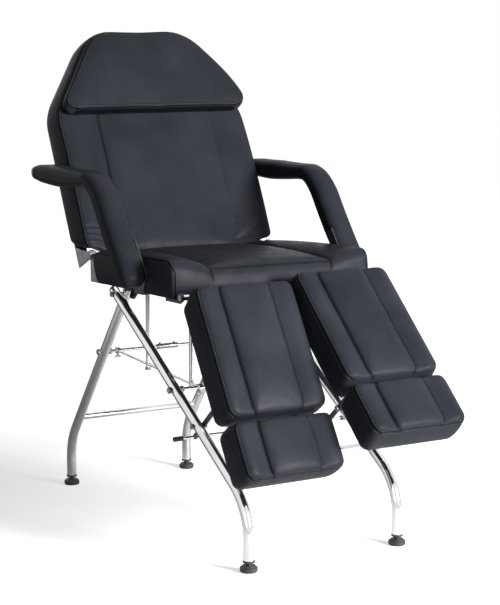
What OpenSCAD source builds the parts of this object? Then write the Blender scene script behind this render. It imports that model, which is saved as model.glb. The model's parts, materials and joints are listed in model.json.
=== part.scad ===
// Pedicure chair: a reclining padded seat on a chrome crossed-leg base, with two
// leg rests that lift one by one. Millimetres, Z up, floor at z = 0.
// The sitter faces -Y, so the sitter's right side is -X.

/* [Base frame] */
// Distance from the front feet to the rear feet
foot_spacing = 1054; // [980:1:1120]
// Distance from the seat's side in to the middle line of a front leg
leg_inset = 70; // [64:1:75]
// Outer diameter of the leg tubes
leg_d = 28; // [26:0.5:29]
// Wall of the leg tubes
leg_wall = 1.5; // [1:0.1:2.5]
// Side gap between a front leg and the rear leg beside it
leg_side_gap = 2; // [1:0.5:4]
// Height at which a front leg's bend would have its corner
front_knee_z = 160; // [140:1:190]
// Height at which a rear leg's bend would have its corner
rear_knee_z = 137; // [120:1:170]
// Centre line radius of the leg bends
bend_r = 155; // [110:1:170]
// Distance from the middle of the base back to the leg crossings, as a share of the seat's length
crossing_share = 0.355; // [0.34:0.005:0.37]
// Distance from the seat's underside down to where the legs cross
crossing_drop = 39; // [36:1:46]
// Diameter of the two low cross tubes
cross_tube_d = 18; // [12:1:22]
// Height of the front cross tube
front_cross_z = 243; // [230:1:262]
// Height of the rear cross tube
rear_cross_z = 217; // [200:1:260]
// Diameter of the two rods that hold the legs together
stretcher_d = 10; // [8:0.5:12]
// Height of the front rod
front_stretcher_z = 402; // [385:1:420]
// Height of the rear rod
rear_stretcher_z = 437; // [415:1:460]

/* [Feet] */
// Diameter of a levelling foot
foot_d = 45; // [36:1:54]
// Height of the foot's pad
foot_h = 17; // [12:1:22]
// Height of the hexagon above the pad
foot_neck_h = 7; // [5:0.5:10]
// Thread diameter of the foot's screw
foot_screw_d = 10; // [8:1:12]
// Length of the screw above the hexagon
foot_screw_l = 44; // [36:1:60]

/* [Seat] */
// Height of the seat's underside above the floor
seat_z = 660; // [640:1:690]
// Width of the seat
seat_w = 600; // [580:1:620]
// Share of the seat's length that lies in front of the middle of the base
seat_front_share = 0.6212; // [0.6:0.0004:0.64]
// Depth of the seat along its top
seat_l = 462; // [446:1:480]
// Thickness of the seat at its side seams
seat_h = 101; // [95:1:106]
// Drop of the side seams from the front to the rear
seat_fall = 19; // [10:1:24]
// Depth of the middle panel below the side bolsters, at the front
seat_dip = 28; // [12:1:32]
// Depth of the middle panel below the side bolsters, at the rear
seat_dip_rear = 4; // [0:1:10]
// Distance the rear end slopes forward from top to bottom
seat_rake = 36; // [30:1:44]
// Rounding of the seat's front edge
seat_nose_r = 30; // [20:1:36]
// Thickness of the plywood under the seat
seat_board_t = 15; // [12:1:18]

/* [Backrest] */
// Angle of the backrest above the horizontal
back_angle = 65.4; // [60:0.2:70]
// Distance from the seat's rear edge back to the backrest's pivot
pivot_gap = 20; // [16:1:24]
// Height of the pivot above the seat's underside
pivot_rise = 73; // [72:1:78]
// Length of the backrest
back_l = 672; // [645:1:700]
// Distance that the backrest stands out past the seat at each side
back_past = 3; // [0:0.5:5]
// Thickness of the backrest at its side seams
back_t = 84; // [78:1:90]
// Height up the backrest at which its head starts to narrow
back_shoulder = 427; // [400:1:445]
// Width that the head would have at the top edge
head_w = 313; // [270:1:345]
// Forward bow of the backrest between seat and head
back_bow = 4; // [0:1:10]
// Thickness of the plywood in the backrest
back_board_t = 12; // [9:1:15]
// Distance between the two sewn channels of seat and backrest
channel_gap = 374; // [340:1:400]

/* [Head pillow] */
// Distance from the top of the backrest down to the pillow's lower edge
pillow_drop = 275; // [262:1:282]
// Length of the pillow
pillow_l = 254; // [236:1:262]
// Distance that the pillow's lower corners stand out past the backrest's sides
pillow_past = 5; // [0:0.5:6]
// Width that the pillow would have at its upper edge
pillow_top_w = 294; // [260:1:310]
// Thickness of the pillow at its lower edge
pillow_t = 40; // [34:1:50]
// Thickness of the pillow at its upper edge
pillow_top_t = 20; // [14:1:26]

/* [Armrests] */
// Width of an armrest
arm_w = 66; // [56:1:74]
// Depth of an armrest
arm_t = 49; // [44:1:52]
// Length of an armrest along its bent middle line
arm_run = 712; // [670:1:730]
// Slope of the armrest's front part
arm_slope = 55; // [50:1:60]
// Distance from the seat's front back to the armrest's front
arm_setback = 117; // [110:1:125]
// Side gap between the seat and an armrest
arm_gap = 15; // [13:0.5:18]
// Height of the armrest's lower end above the seat's underside
arm_lift = 19; // [16:1:24]

/* [Leg rests] */
// Angle of the right leg rest below the horizontal
right_pitch = 59.8; // [58:0.1:62]
// Angle of the left leg rest below the horizontal
left_pitch = 44.4; // [40:0.2:48]
// Distance from the seat's front forward to the leg rests' axle
axle_reach = 23; // [22:1:26]
// Height of the axle above the seat's underside
axle_rise = 7; // [4:1:10]
// Diameter of the axle
axle_d = 16; // [14:1:18]
// Distance from the seat's side in to the outer side of a leg rest
leg_pad_inset = 8; // [7.5:0.5:12]
// Gap between the two leg rests
leg_pad_gap = 28; // [20:1:36]
// Length of a calf pad
calf_l = 336; // [320:1:345]
// Length of a heel pad
heel_l = 145; // [130:1:160]
// Gap between a calf pad and its heel pad
heel_gap = 12; // [8:1:18]
// Thickness of the leg pads
leg_pad_t = 84; // [76:1:88]
// Distance between the two sewn channels of a leg pad
leg_channel_gap = 152; // [130:1:170]
// Thickness of the plywood in the leg pads
leg_board_t = 12; // [9:1:15]
// Diameter of the rods that carry a heel pad
heel_rod_d = 12; // [10:1:14]

/* [Stop frame] */
// Distance from the middle of the base forward to the foot bar
foot_bar_reach = 236; // [232:1:240]
// Height of the foot bar
foot_bar_z = 287; // [280:1:294]
// Distance that the foot bar sticks out past the middle line of a front leg
foot_bar_past = 47; // [38:1:58]
// Diameter of the foot bar
foot_bar_d = 8; // [6:0.5:10]

/* [Hidden] */

$fn = 48;
right = -1;
left = 1;

// Clearances, plate thickness and the overrun of every cut
cut = 1;
touch = 0.3;
run_fit = 0.05;
board_fit = 0.2;
plate_t = 4;
weld = 0.6;

// Colours
chrome = [0.78, 0.79, 0.81];
zinc = [0.66, 0.67, 0.69];
black_leather = [0.10, 0.105, 0.12];
black_plastic = [0.06, 0.06, 0.06];
black_paint = [0.09, 0.09, 0.10];
lining = [0.13, 0.12, 0.12];

// Backrest in its own frame: pivot at the origin, +Y up the backrest and
// +Z out of its front face
back_start = 14;
back_face = 2.5;
back_rim = 8;
back_corner_r = 22;
head_corner_r = 62;
back_edge_r = 10;
back_w = seat_w + 2 * back_past;
back_channel_share = channel_gap / back_w;
back_bottom = back_face - back_t;
back_flat = 0.56 * back_l;
head_fall = (back_w - head_w) / 2 / (back_l - back_shoulder);
pad_crown = 8;
bow_power = 0.62;
channel_spread = 0.04;

// Head pillow
pillow_start = back_l - pillow_drop;
pillow_w = back_w + 2 * pillow_past;
pillow_corner_r = 34;
pillow_foot_r = 36;
pillow_edge_r = 14;
pillow_crown = 4;
pillow_lean = 0.15;

// Leg rests in their own frame: axle at the origin, -Y down the leg and
// +Z out of the padded face
leg_pad_w = seat_w / 2 - leg_pad_inset - leg_pad_gap / 2;
leg_pad_start = 14;
leg_pad_top = 76;
leg_pad_sink = leg_pad_t - leg_pad_top;
leg_pad_crown = 7;
leg_edge_r = 9;
leg_channel_spread = 0.07;
heel_start = leg_pad_start + calf_l + heel_gap;
leg_l = heel_start + heel_l;

// Places along the base, from its middle
seat_reach = seat_front_share * seat_l;
crossing_reach = crossing_share * seat_l;
pivot_reach = seat_l - seat_reach + pivot_gap;

// The chair's outline is centred over the origin: the left heel pad reaches
// furthest forward and the top of the head furthest back
front_extent = seat_reach + axle_reach + leg_l * cos(left_pitch)
    + (leg_pad_top - leg_edge_r) * sin(left_pitch);
rear_extent = max(foot_spacing / 2 + foot_d / 2, pivot_reach
    + (back_start + back_l) * cos(back_angle) - back_bottom * sin(back_angle));
mid_y = (front_extent - rear_extent) / 2;

// Legs
front_foot_y = mid_y - foot_spacing / 2;
rear_foot_y = mid_y + foot_spacing / 2;
front_leg_x = seat_w / 2 - leg_inset;
rear_leg_x = front_leg_x - leg_d - leg_side_gap;
crossing_y = mid_y + crossing_reach;
crossing_z = seat_z - crossing_drop;
front_slope = atan2(crossing_z - front_knee_z, crossing_y - front_foot_y);
rear_slope = atan2(crossing_z - rear_knee_z, rear_foot_y - crossing_y);
front_rise = (crossing_z - front_knee_z) / sin(front_slope);
rear_rise = (crossing_z - rear_knee_z) / sin(rear_slope);
front_end_past = 16;
rear_end_past = 20;
leg_bore_d = leg_d - 2 * leg_wall;
leg_lap = 3;
bend_thin = 0.2;
cap_h = 8;
cap_round = 4;
collar_h = 5;
collar_plug_h = 26;
collar_z = foot_h + foot_neck_h + touch;
leg_z = collar_z + collar_h;
foot_neck_d = 17;
foot_bevel = 3;
foot_top_d = 34;

// Cross tubes, stretchers, stays and posts
front_cross_y = front_foot_y + (front_cross_z - front_knee_z) / tan(front_slope);
rear_cross_y = rear_foot_y - (rear_cross_z - rear_knee_z) / tan(rear_slope);
front_stretcher_y = front_foot_y + (front_stretcher_z - front_knee_z) / tan(front_slope);
rear_stretcher_y = rear_foot_y - (rear_stretcher_z - rear_knee_z) / tan(rear_slope);
cross_tube_wall = 1.5;
nut_d = 18;
nut_h = 8;
stretcher_end = 11;
sleeve_l = 68;
sleeve_x = 6;
sleeve_d = 16;
sleeve_screw_d = 7;
sleeve_screw_h = 4;
sleeve_screw_gap = 24;
stay_inset = 43;
stay_x = rear_leg_x - stay_inset;
stay_d = 8;
stay_eye_d = 20;
stay_eye_w = 9;
stay_screw_d = 5;
stay_screw_l = 12;
wing_w = 18;
wing_h = 7;
wing_t = 2.5;
post_d = 12;
post_gap = 44.3;
post_spacing = 0.52 * seat_l;
post_flange = 36;
post_tail = 12;
post_nut_d = 19;
stay_run = rear_stretcher_y - front_stretcher_y;
stay_rise = rear_stretcher_z - front_stretcher_z;
stay_pitch = atan2(stay_rise, stay_run);
post_ys = [front_stretcher_y + post_gap, front_stretcher_y + post_gap + post_spacing];

// Brackets under the seat
bracket_reach = 78;
bracket_foot_l = 56;
bracket_foot_w = 40;
bracket_drop = 16;
bolt_d = 8;
bolt_head_d = 15;
bolt_head_h = 5;
screw_head_d = 10;
screw_head_h = 3;

// Seat
seat_front_y = mid_y - seat_reach;
seat_rim = 8;
seat_corner_r = 14;
seat_channel_share = channel_gap / seat_w;
side_draw = 3;
dip_power = 1.5;
channel_depth = 5;

// Backrest hinges
pivot_y = mid_y + pivot_reach;
pivot_z = seat_z + pivot_rise;
hinge_bolt_d = 10;
hinge_head_r = 12;
hinge_inset = 14;
hinge_x = seat_w / 2 - hinge_inset;
hinge_foot_l = 85;
hinge_foot_w = 34;
hinge_flange_w = 34;
hinge_flange_l = 104;
hinge_neck = 10.5;
hinge_spread = 24;
hinge_gap = 4;
back_hinge_drop = 50;
back_fan = 30;

// Armrests: the middle line starts at the lower end and turns as it rises;
// its angle and the pad's thickness are tables of shares along it
arm_x = seat_w / 2 + arm_gap;
arm_tuck = 10.5;
arm_end_round = 4;
arm_start_y = seat_front_y + arm_setback + arm_t / 2 - arm_tuck;
arm_start_z = seat_z + arm_lift + arm_end_round;
arm_angle_shares = [[0, 1.35], [0.068, 0.91], [0.33, 1.04], [0.426, 0.73], [0.523, -0.03],
    [0.6, -0.02], [1, 0.1]];
arm_thick_shares = [[0, 0.55], [0.02, 0.84], [0.06, 1.01], [0.19, 1.11], [0.35, 1.1], [0.47, 0.87],
    [0.56, 0.91], [0.73, 1.13], [0.88, 1], [0.94, 0.8], [0.98, 0.48], [1, 0.2]];
arm_width_shares = [[0, 0.7], [0.02, 0.92], [0.06, 1], [0.94, 1], [0.98, 0.82], [1, 0.5]];
arm_stations = [0, 0.02, 0.06, 0.14, 0.24, 0.35, 0.41, 0.47, 0.52, 0.56, 0.66, 0.78, 0.88, 0.94,
    0.98, 1];
arm_step = 0.01;
arm_sides = 16;
arm_pivot_back = 14;
arm_pivot_up = 33;
arm_pivot_y = arm_start_y + arm_pivot_back;
arm_pivot_z = arm_start_z + arm_pivot_up;
arm_fan = 40;
arm_plate_tail = 22;
arm_plate_l = 92;
arm_plate_w = 28;
arm_bolt_d = 10;
arm_bolt_head_d = 20;
arm_bolt_head_h = 4.5;
arm_bracket_front = 9;
arm_bracket_rear = 54;
arm_bracket_r = 15;
arm_bracket_foot_w = 60;
arm_bracket_x = arm_x - touch - 2 * plate_t;

// Leg rest axle, lugs and arms
axle_y = seat_front_y - axle_reach;
axle_z = seat_z + axle_rise;
axle_half = seat_w / 2;
lug_w = 7;
lug_r = 12.5;
lug_foot_l = 72;
lug_foot_t = 8;
lug_flange_w = 26;
leg_rim = 7;
leg_corner_r = 20;
leg_channel_share = leg_channel_gap / leg_pad_w;
leg_pad_x = leg_pad_gap / 2 + leg_pad_w / 2;
leg_arm_inset = 30;
leg_arm_x = leg_pad_w / 2 - leg_arm_inset;
leg_arm_t = 5;
leg_arm_h = 18;
leg_strap_t = 3;
leg_strap_w = 30;
guide_wall = 2;
guide_d = heel_rod_d + 2 * (guide_wall + run_fit);
guide_x = leg_arm_x - leg_arm_t / 2 - guide_d / 2 + weld;
guide_n = -leg_pad_sink - leg_strap_t - guide_d / 2 + weld;
guide_start = 40;
guide_short = 12;
guide_end = leg_pad_start + calf_l - guide_short;
heel_rod_in = 150;
heel_rod_out = 100;
heel_plate_l = 84;
heel_plate_w = 26;
bush_w = 16;
bush_r = 12;

// Stop frame: two stays bolted inside the front legs; the leg rests' boards
// come down on the tabs at their upper ends
foot_bar_y = mid_y - foot_bar_reach;
foot_bar_half = front_leg_x + foot_bar_past;
stop_bar_w = 14;
stop_stay_t = 5;
stop_x = front_leg_x - leg_d / 2 - stop_stay_t / 2 - touch;
stop_s = 243;
stop_tab_l = 34;
stop_tab_w = 16;
stop_tab_t = 4;
stop_n = -leg_pad_sink - touch - stop_tab_t;
stop_end_y = axle_y - stop_s * cos(right_pitch) - stop_n * sin(right_pitch);
stop_end_z = axle_z - stop_s * sin(right_pitch) + stop_n * cos(right_pitch);
stop_fall = (stop_end_z - foot_bar_z) / (stop_end_y - foot_bar_y);
stop_bolt_y = (front_knee_z - front_foot_y * tan(front_slope) - foot_bar_z
    + foot_bar_y * stop_fall) / (stop_fall - tan(front_slope));
stop_bolt_z = foot_bar_z + (stop_bolt_y - foot_bar_y) * stop_fall;
foot_bar_cap_d = 13;
foot_bar_cap_l = 26;
foot_bar_cap_end = 3;

// Shapes shared by several pieces

module both_sides() {
    children();
    mirror([1, 0, 0]) children();
}

// A straight rod along X, from x0 to x1
module rod_x(d, x0, x1, y, z) {
    translate([x0, y, z]) rotate([0, 90, 0]) cylinder(d = d, h = x1 - x0);
}

// A flat plate lying in the YZ plane: the outline's points are [y, z]
module plate_x(x, t) {
    translate([x, 0, 0]) rotate([90, 0, 90]) linear_extrude(t) children();
}

// A hexagon nut whose bore lies along X
module nut_x(x, y, z, d, h, bore) {
    translate([x, y, z]) rotate([0, 90, 0]) difference() {
        cylinder(d = d, h = h, $fn = 6);
        translate([0, 0, -cut]) cylinder(d = bore, h = h + 2 * cut);
    }
}

// One leg's outline, from the floor end up round its bend and along its slope.
// It bends towards +Y. The bend is a hair thinner, as bent tube is, and the
// straights lap over its ends.
module leg_run(d, z0, knee_z, slope, run) {
    turn = 90 - slope;
    back_off = bend_r * tan(turn / 2);
    translate([0, 0, z0]) cylinder(d = d, h = knee_z - back_off + leg_lap - z0);
    translate([0, bend_r, knee_z - back_off]) rotate([90, 0, -90])
        rotate_extrude(angle = turn) translate([bend_r, 0]) circle(d = d - bend_thin);
    translate([0, 0, knee_z]) rotate([-turn, 0, 0]) translate([0, 0, back_off - leg_lap])
        cylinder(d = d, h = run - back_off + leg_lap);
}

// Drop of a rounded edge at distance d from it
function roll(d, r) = d >= r ? 0 : r - sqrt(r * r - (r - max(d, 0)) * (r - max(d, 0)));

// 1 in the middle of a channel, fading to 0 over a few millimetres' share
function channel(u, at, spread) = exp(-pow((abs(u) - at) / spread, 2));

// A padded form. Its face is a grid of columns us, as shares of the half width,
// and rows of lengths as. half(a) is the half width and top(u, a) the height of
// the face. Each level is [inset, share of the face's height kept, height], from
// the side seams down. lean0 and lean1 slope the two ends by so much length for
// each unit of height below level0. The recess for a board has straight walls.
module padded_form(us, as, half, top, levels, recess = 0, lean0 = 0, lean1 = 0, level0 = 0) {
    nu = len(us);
    na = len(as);
    full = as[na - 1];
    function lean(a, n) = (level0 - n) * (lean0 * (1 - a / full) - lean1 * a / full);
    function spot(u, a, inset, n) = [
        u * (half(a) - inset),
        inset + a * (full - 2 * inset) / full + lean(a, n),
        n];
    face = [for (a = as) for (u = us) spot(u, a, side_draw, top(u, a))];
    rim = concat(
        [for (j = [0 : nu - 1]) [us[j], as[0]]],
        [for (i = [1 : na - 1]) [1, as[i]]],
        [for (j = [nu - 2 : -1 : 0]) [us[j], full]],
        [for (i = [na - 2 : -1 : 1]) [-1, as[i]]]);
    rim_ids = concat(
        [for (j = [0 : nu - 1]) j],
        [for (i = [1 : na - 1]) i * nu + nu - 1],
        [for (j = [nu - 2 : -1 : 0]) (na - 1) * nu + j],
        [for (i = [na - 2 : -1 : 1]) i * nu]);
    count = len(rim);
    last = levels[len(levels) - 1];
    sides = [for (level = levels) for (p = rim)
        spot(p[0], p[1], level[0], level[1] * top(p[0], p[1]) + (1 - level[1]) * level[2])];
    pocket = recess == 0 ? [] : [for (p = rim)
        spot(p[0], p[1], last[0], last[2]) + [0, 0, recess]];
    low = concat(sides, pocket);
    ring_count = len(low) / count;
    middle = [0, full / 2 + lean(full / 2, last[2]), last[2] + recess];
    function at(ring, m) = ring == 0 ? rim_ids[m % count]
        : nu * na + (ring - 1) * count + m % count;
    face_tris = [for (i = [0 : na - 2]) for (j = [0 : nu - 2]) for (k = [0, 1])
        let (a = i * nu + j, b = a + nu)
        k == 0 ? [a, b, b + 1] : [a, b + 1, a + 1]];
    wall_tris = [for (r = [0 : ring_count - 1]) for (m = [0 : count - 1]) for (k = [0, 1])
        k == 0 ? [at(r, m), at(r, m + 1), at(r + 1, m + 1)]
            : [at(r, m), at(r + 1, m + 1), at(r + 1, m)]];
    floor_tris = [for (m = [0 : count - 1])
        [at(ring_count, m), at(ring_count, m + 1), nu * na + len(low)]];
    polyhedron(points = concat(face, low, [middle]),
        faces = concat(face_tris, wall_tris, floor_tris), convexity = 4);
}

// The outline of the board that lies in a padded form's recess
module board_outline(as, half, inset, lean0 = 0, lean1 = 0, drop = 0) {
    full = as[len(as) - 1];
    function along(a) = inset + a * (full - 2 * inset) / full
        + drop * (lean0 * (1 - a / full) - lean1 * a / full);
    polygon(concat(
        [for (a = as) [half(a) - inset, along(a)]],
        [for (i = [len(as) - 1 : -1 : 0]) [inset - half(as[i]), along(as[i])]]));
}

// Levels of a form whose underside is a rim round a board
function boxed_levels(base, rim) = [
    [0, 0.5, base],
    [side_draw, 0, base],
    [rim, 0, base]];

// Rows along a form of length l whose ends are rounded with radius r: the shares
// of the radius crowd towards the ends, those of the length fill the middle
edge_shares = [0, 0.1, 0.4, 1];
middle_shares = [0.3, 0.5, 0.7];
function rows(l, r) = concat(
    [for (s = edge_shares) s * r],
    [for (s = middle_shares) s * l],
    [for (i = [len(edge_shares) - 1 : -1 : 0]) l - edge_shares[i] * r]);

// Columns across a form: its edges, and three beside each sewn channel
function columns(at) = let (
    side = (1 - at),
    half_set = [at - 0.05, at, at + 0.05, at + 0.45 * side, at + 0.85 * side, 1])
    concat([for (i = [len(half_set) - 1 : -1 : 0]) -half_set[i]], [0], half_set);

// Legs

module leg_side(d, x, front) {
    z0 = d == leg_d ? leg_z : leg_z - cut;
    extra = d == leg_d ? 0 : cut;
    if (front)
        translate([x, front_foot_y, 0])
            leg_run(d, z0, front_knee_z, front_slope, front_rise + front_end_past + extra);
    else
        translate([x, rear_foot_y, 0]) mirror([0, 1, 0])
            leg_run(d, z0, rear_knee_z, rear_slope, rear_rise + rear_end_past + extra);
}

module leg_tube(x, front) {
    stretcher_y = front ? front_stretcher_y : rear_stretcher_y;
    stretcher_z = front ? front_stretcher_z : rear_stretcher_z;
    span = leg_d / 2 + cut;
    difference() {
        leg_side(leg_d, x, front);
        leg_side(leg_bore_d, x, front);
        rod_x(stretcher_d + 2 * run_fit, x - span, x + span, stretcher_y, stretcher_z);
        rod_x(bolt_d + 2 * run_fit, x - span, x + span, crossing_y, crossing_z);
        if (front)
            rod_x(bolt_d + 2 * run_fit, x - span, x + span, stop_bolt_y, stop_bolt_z);
    }
}

module front_leg_left() {
    color(chrome) leg_tube(left * front_leg_x, true);
}

module front_leg_right() {
    color(chrome) leg_tube(right * front_leg_x, true);
}

module rear_leg_left() {
    color(chrome) leg_tube(left * rear_leg_x, false);
}

module rear_leg_right() {
    color(chrome) leg_tube(right * rear_leg_x, false);
}

// A cross tube whose ends are coped to the legs' round sides
module cross_tube(half, y, z, front) {
    difference() {
        rod_x(cross_tube_d, -half, half, y, z);
        rod_x(cross_tube_d - 2 * cross_tube_wall, -half - cut, half + cut, y, z);
        leg_side(leg_d, half, front);
        leg_side(leg_d, -half, front);
    }
}

module front_cross_tube() {
    color(chrome) cross_tube(front_leg_x, front_cross_y, front_cross_z, true);
}

module rear_cross_tube() {
    color(chrome) cross_tube(rear_leg_x, rear_cross_y, rear_cross_z, false);
}

// Plastic plugs in the upper ends of the legs
module end_cap(x, y, turn, past) {
    translate([x, y, crossing_z]) rotate([turn, 0, 0]) translate([0, 0, past])
        rotate_extrude() polygon(concat(
            [[0, -collar_plug_h], [leg_bore_d / 2 - board_fit, -collar_plug_h],
             [leg_bore_d / 2 - board_fit, 0], [leg_d / 2, 0], [leg_d / 2, cap_h - cap_round]],
            [for (a = [15 : 15 : 90])
                [leg_d / 2 - cap_round + cap_round * cos(a), cap_h - cap_round + cap_round * sin(a)]],
            [[0, cap_h]]));
}

module leg_caps() {
    color(black_plastic) difference() {
        for (side = [right, left]) {
            end_cap(side * front_leg_x, crossing_y, front_slope - 90, front_end_past);
            end_cap(side * rear_leg_x, crossing_y, 90 - rear_slope, rear_end_past);
        }
        both_sides() rod_x(bolt_d + 2 * board_fit, rear_leg_x - leg_d, front_leg_x + leg_d,
            crossing_y, crossing_z);
    }
}

// Plastic inserts in the lower ends of the legs, bored for the feet's screws
module leg_collars() {
    color(black_plastic)
        for (x = [front_leg_x, rear_leg_x])
            for (side = [right, left])
                translate([side * x, x == front_leg_x ? front_foot_y : rear_foot_y, collar_z])
                    difference() {
                        union() {
                            cylinder(d = leg_d + 2 * leg_wall, h = collar_h);
                            cylinder(d = leg_bore_d - 2 * board_fit, h = collar_h + collar_plug_h);
                        }
                        translate([0, 0, -cut])
                            cylinder(d = foot_screw_d + 2 * run_fit,
                                h = collar_h + collar_plug_h + 2 * cut);
                    }
}

// A levelling foot: pad, hexagon and screw
module foot(x, y) {
    translate([x, y, 0]) {
        color(black_plastic) rotate_extrude() polygon([
            [0, 0], [foot_d / 2 - foot_bevel, 0], [foot_d / 2, foot_bevel],
            [foot_d / 2, foot_h - foot_bevel - foot_bevel / 2],
            [foot_d / 2 - foot_bevel, foot_h - foot_bevel],
            [foot_top_d / 2, foot_h], [0, foot_h]]);
        color(zinc) translate([0, 0, foot_h]) {
            cylinder(d = foot_neck_d, h = foot_neck_h, $fn = 6);
            cylinder(d = foot_screw_d, h = foot_neck_h + foot_screw_l);
        }
    }
}

module foot_front_left() {
    foot(left * front_leg_x, front_foot_y);
}

module foot_front_right() {
    foot(right * front_leg_x, front_foot_y);
}

module foot_rear_left() {
    foot(left * rear_leg_x, rear_foot_y);
}

module foot_rear_right() {
    foot(right * rear_leg_x, rear_foot_y);
}

// Rods through the legs, and what hangs on them

module front_stretcher() {
    half = front_leg_x + leg_d / 2 + stretcher_end;
    color(chrome) rod_x(stretcher_d, -half, half, front_stretcher_y, front_stretcher_z);
}

module rear_stretcher() {
    half = rear_leg_x + leg_d / 2 + stretcher_end;
    color(chrome) rod_x(stretcher_d, -half, half, rear_stretcher_y, rear_stretcher_z);
}

// The sleeve that joins the rear rod's two halves, with its two small screws
module stretcher_sleeve() {
    color(zinc) difference() {
        union() {
            rod_x(sleeve_d, sleeve_x - sleeve_l / 2, sleeve_x + sleeve_l / 2,
                rear_stretcher_y, rear_stretcher_z);
            for (side = [right, left])
                translate([sleeve_x + side * sleeve_screw_gap, rear_stretcher_y, rear_stretcher_z])
                    cylinder(d = sleeve_screw_d, h = sleeve_d / 2 + sleeve_screw_h);
        }
        rod_x(stretcher_d + 2 * run_fit, sleeve_x - sleeve_l / 2 - cut,
            sleeve_x + sleeve_l / 2 + cut, rear_stretcher_y, rear_stretcher_z);
    }
}

module stretcher_nuts() {
    bore = stretcher_d + 2 * run_fit;
    color(zinc) both_sides() {
        nut_x(front_leg_x + leg_d / 2 + touch, front_stretcher_y, front_stretcher_z, nut_d, nut_h, bore);
        nut_x(front_leg_x - leg_d / 2 - touch - nut_h, front_stretcher_y, front_stretcher_z,
            nut_d, nut_h, bore);
        nut_x(rear_leg_x + leg_d / 2 + touch, rear_stretcher_y, rear_stretcher_z, nut_d, nut_h, bore);
        nut_x(rear_leg_x - leg_d / 2 - touch - nut_h, rear_stretcher_y, rear_stretcher_z,
            nut_d, nut_h, bore);
    }
}

// A place on the line of the stays, at distance y behind the front rod
function stay_z(y) = front_stretcher_z + (y - front_stretcher_y) * stay_rise / stay_run;

// Rods from the front stretcher to the rear one, with an eye at each end
module stay_rods() {
    length = sqrt(stay_run * stay_run + stay_rise * stay_rise);
    color(chrome) both_sides() difference() {
        union() {
            for (end = [[front_stretcher_y, front_stretcher_z], [rear_stretcher_y, rear_stretcher_z]])
                rod_x(stay_eye_d, stay_x - stay_eye_w / 2, stay_x + stay_eye_w / 2, end[0], end[1]);
            translate([stay_x, front_stretcher_y, front_stretcher_z])
                rotate([stay_pitch - 90, 0, 0]) translate([0, 0, stretcher_d / 2])
                    cylinder(d = stay_d, h = length - stretcher_d);
        }
        for (end = [[front_stretcher_y, front_stretcher_z], [rear_stretcher_y, rear_stretcher_z]]) {
            rod_x(stretcher_d + 2 * run_fit, stay_x - stay_eye_w, stay_x + stay_eye_w, end[0], end[1]);
            translate([stay_x, end[0], end[1] - stay_eye_d])
                cylinder(d = stay_screw_d + 2 * run_fit, h = stay_eye_d);
        }
    }
}

// Winged screws that clamp the stays' eyes from below
module stay_screws() {
    color(zinc) both_sides()
        for (end = [[front_stretcher_y, front_stretcher_z], [rear_stretcher_y, rear_stretcher_z]])
            translate([stay_x, end[0], end[1] - stretcher_d / 2 - touch]) {
                translate([0, 0, -stay_screw_l]) cylinder(d = stay_screw_d, h = stay_screw_l);
                translate([-wing_w / 2, -wing_t / 2, -stay_screw_l - wing_h / 2])
                    cube([wing_w, wing_t, wing_h]);
            }
}

// Posts that carry the seat on the stays
module seat_posts() {
    color(chrome) both_sides()
        for (y = post_ys)
            difference() {
                union() {
                    translate([stay_x, y, stay_z(y) - post_tail])
                        cylinder(d = post_d, h = seat_z - stay_z(y) + post_tail);
                    translate([stay_x - post_flange / 2, y - post_flange / 2, seat_z - plate_t])
                        cube([post_flange, post_flange, plate_t]);
                }
                translate([stay_x, y, stay_z(y)]) rotate([stay_pitch - 90, 0, 0])
                    translate([0, 0, -post_d])
                        cylinder(d = stay_d + 2 * run_fit, h = 2 * post_d);
            }
}

module post_nuts() {
    color(zinc) both_sides()
        for (y = post_ys)
            translate([stay_x, y, stay_z(y) - post_tail - touch]) difference() {
                translate([0, 0, -nut_h / 2]) cylinder(d = post_nut_d, h = nut_h, $fn = 6);
                translate([0, 0, touch]) cylinder(d = post_d + 2 * run_fit, h = nut_h);
            }
}

// Brackets from the seat board down to the leg crossings
module leg_brackets() {
    web_x = rear_leg_x - leg_d / 2 - touch - plate_t;
    color(black_paint) both_sides() difference() {
        union() {
            plate_x(web_x, plate_t) translate([crossing_y, 0]) polygon([
                [-bracket_drop, crossing_z - bracket_drop],
                [bracket_drop, crossing_z - bracket_drop],
                [bracket_drop, crossing_z + bracket_drop],
                [bracket_foot_l - bracket_reach, seat_z],
                [-bracket_reach, seat_z]]);
            translate([web_x, crossing_y - bracket_reach, seat_z - plate_t])
                cube([bracket_foot_w, bracket_foot_l, plate_t]);
            for (s = [1, 3])
                translate([web_x + bracket_foot_w / 2,
                    crossing_y - bracket_reach + s * bracket_foot_l / 4,
                    seat_z - plate_t - screw_head_h])
                    cylinder(d = screw_head_d, h = plate_t);
        }
        rod_x(bolt_d + 2 * run_fit, web_x - cut, web_x + plate_t + cut, crossing_y, crossing_z);
    }
}

// The bolt through each pair of legs, and its nut
module leg_bolts() {
    x0 = rear_leg_x - leg_d / 2 - touch - plate_t - touch - bolt_head_h;
    x1 = front_leg_x + leg_d / 2 + touch;
    color(zinc) both_sides() {
        rod_x(bolt_head_d, x0, x0 + bolt_head_h, crossing_y, crossing_z);
        rod_x(bolt_d, x0, x1 + bolt_head_h, crossing_y, crossing_z);
        rod_x(bolt_head_d, x1, x1 + bolt_head_h, crossing_y, crossing_z);
    }
}

// Seat

function seat_half(a) = seat_w / 2 - roll(a, seat_corner_r) - roll(seat_l - a, seat_corner_r);

// The middle panel rises towards the rear
function seat_dip_at(a) = seat_dip_rear
    + (seat_dip - seat_dip_rear) * pow(1 - a / seat_l, dip_power);

function seat_top(u, a) = seat_h - seat_fall * a / seat_l - roll(a, seat_nose_r)
    - roll(seat_l - a, back_edge_r) - seat_dip_at(a) * (1 - pow(abs(u), 8))
    - channel_depth * channel(u, seat_channel_share, channel_spread);

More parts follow.
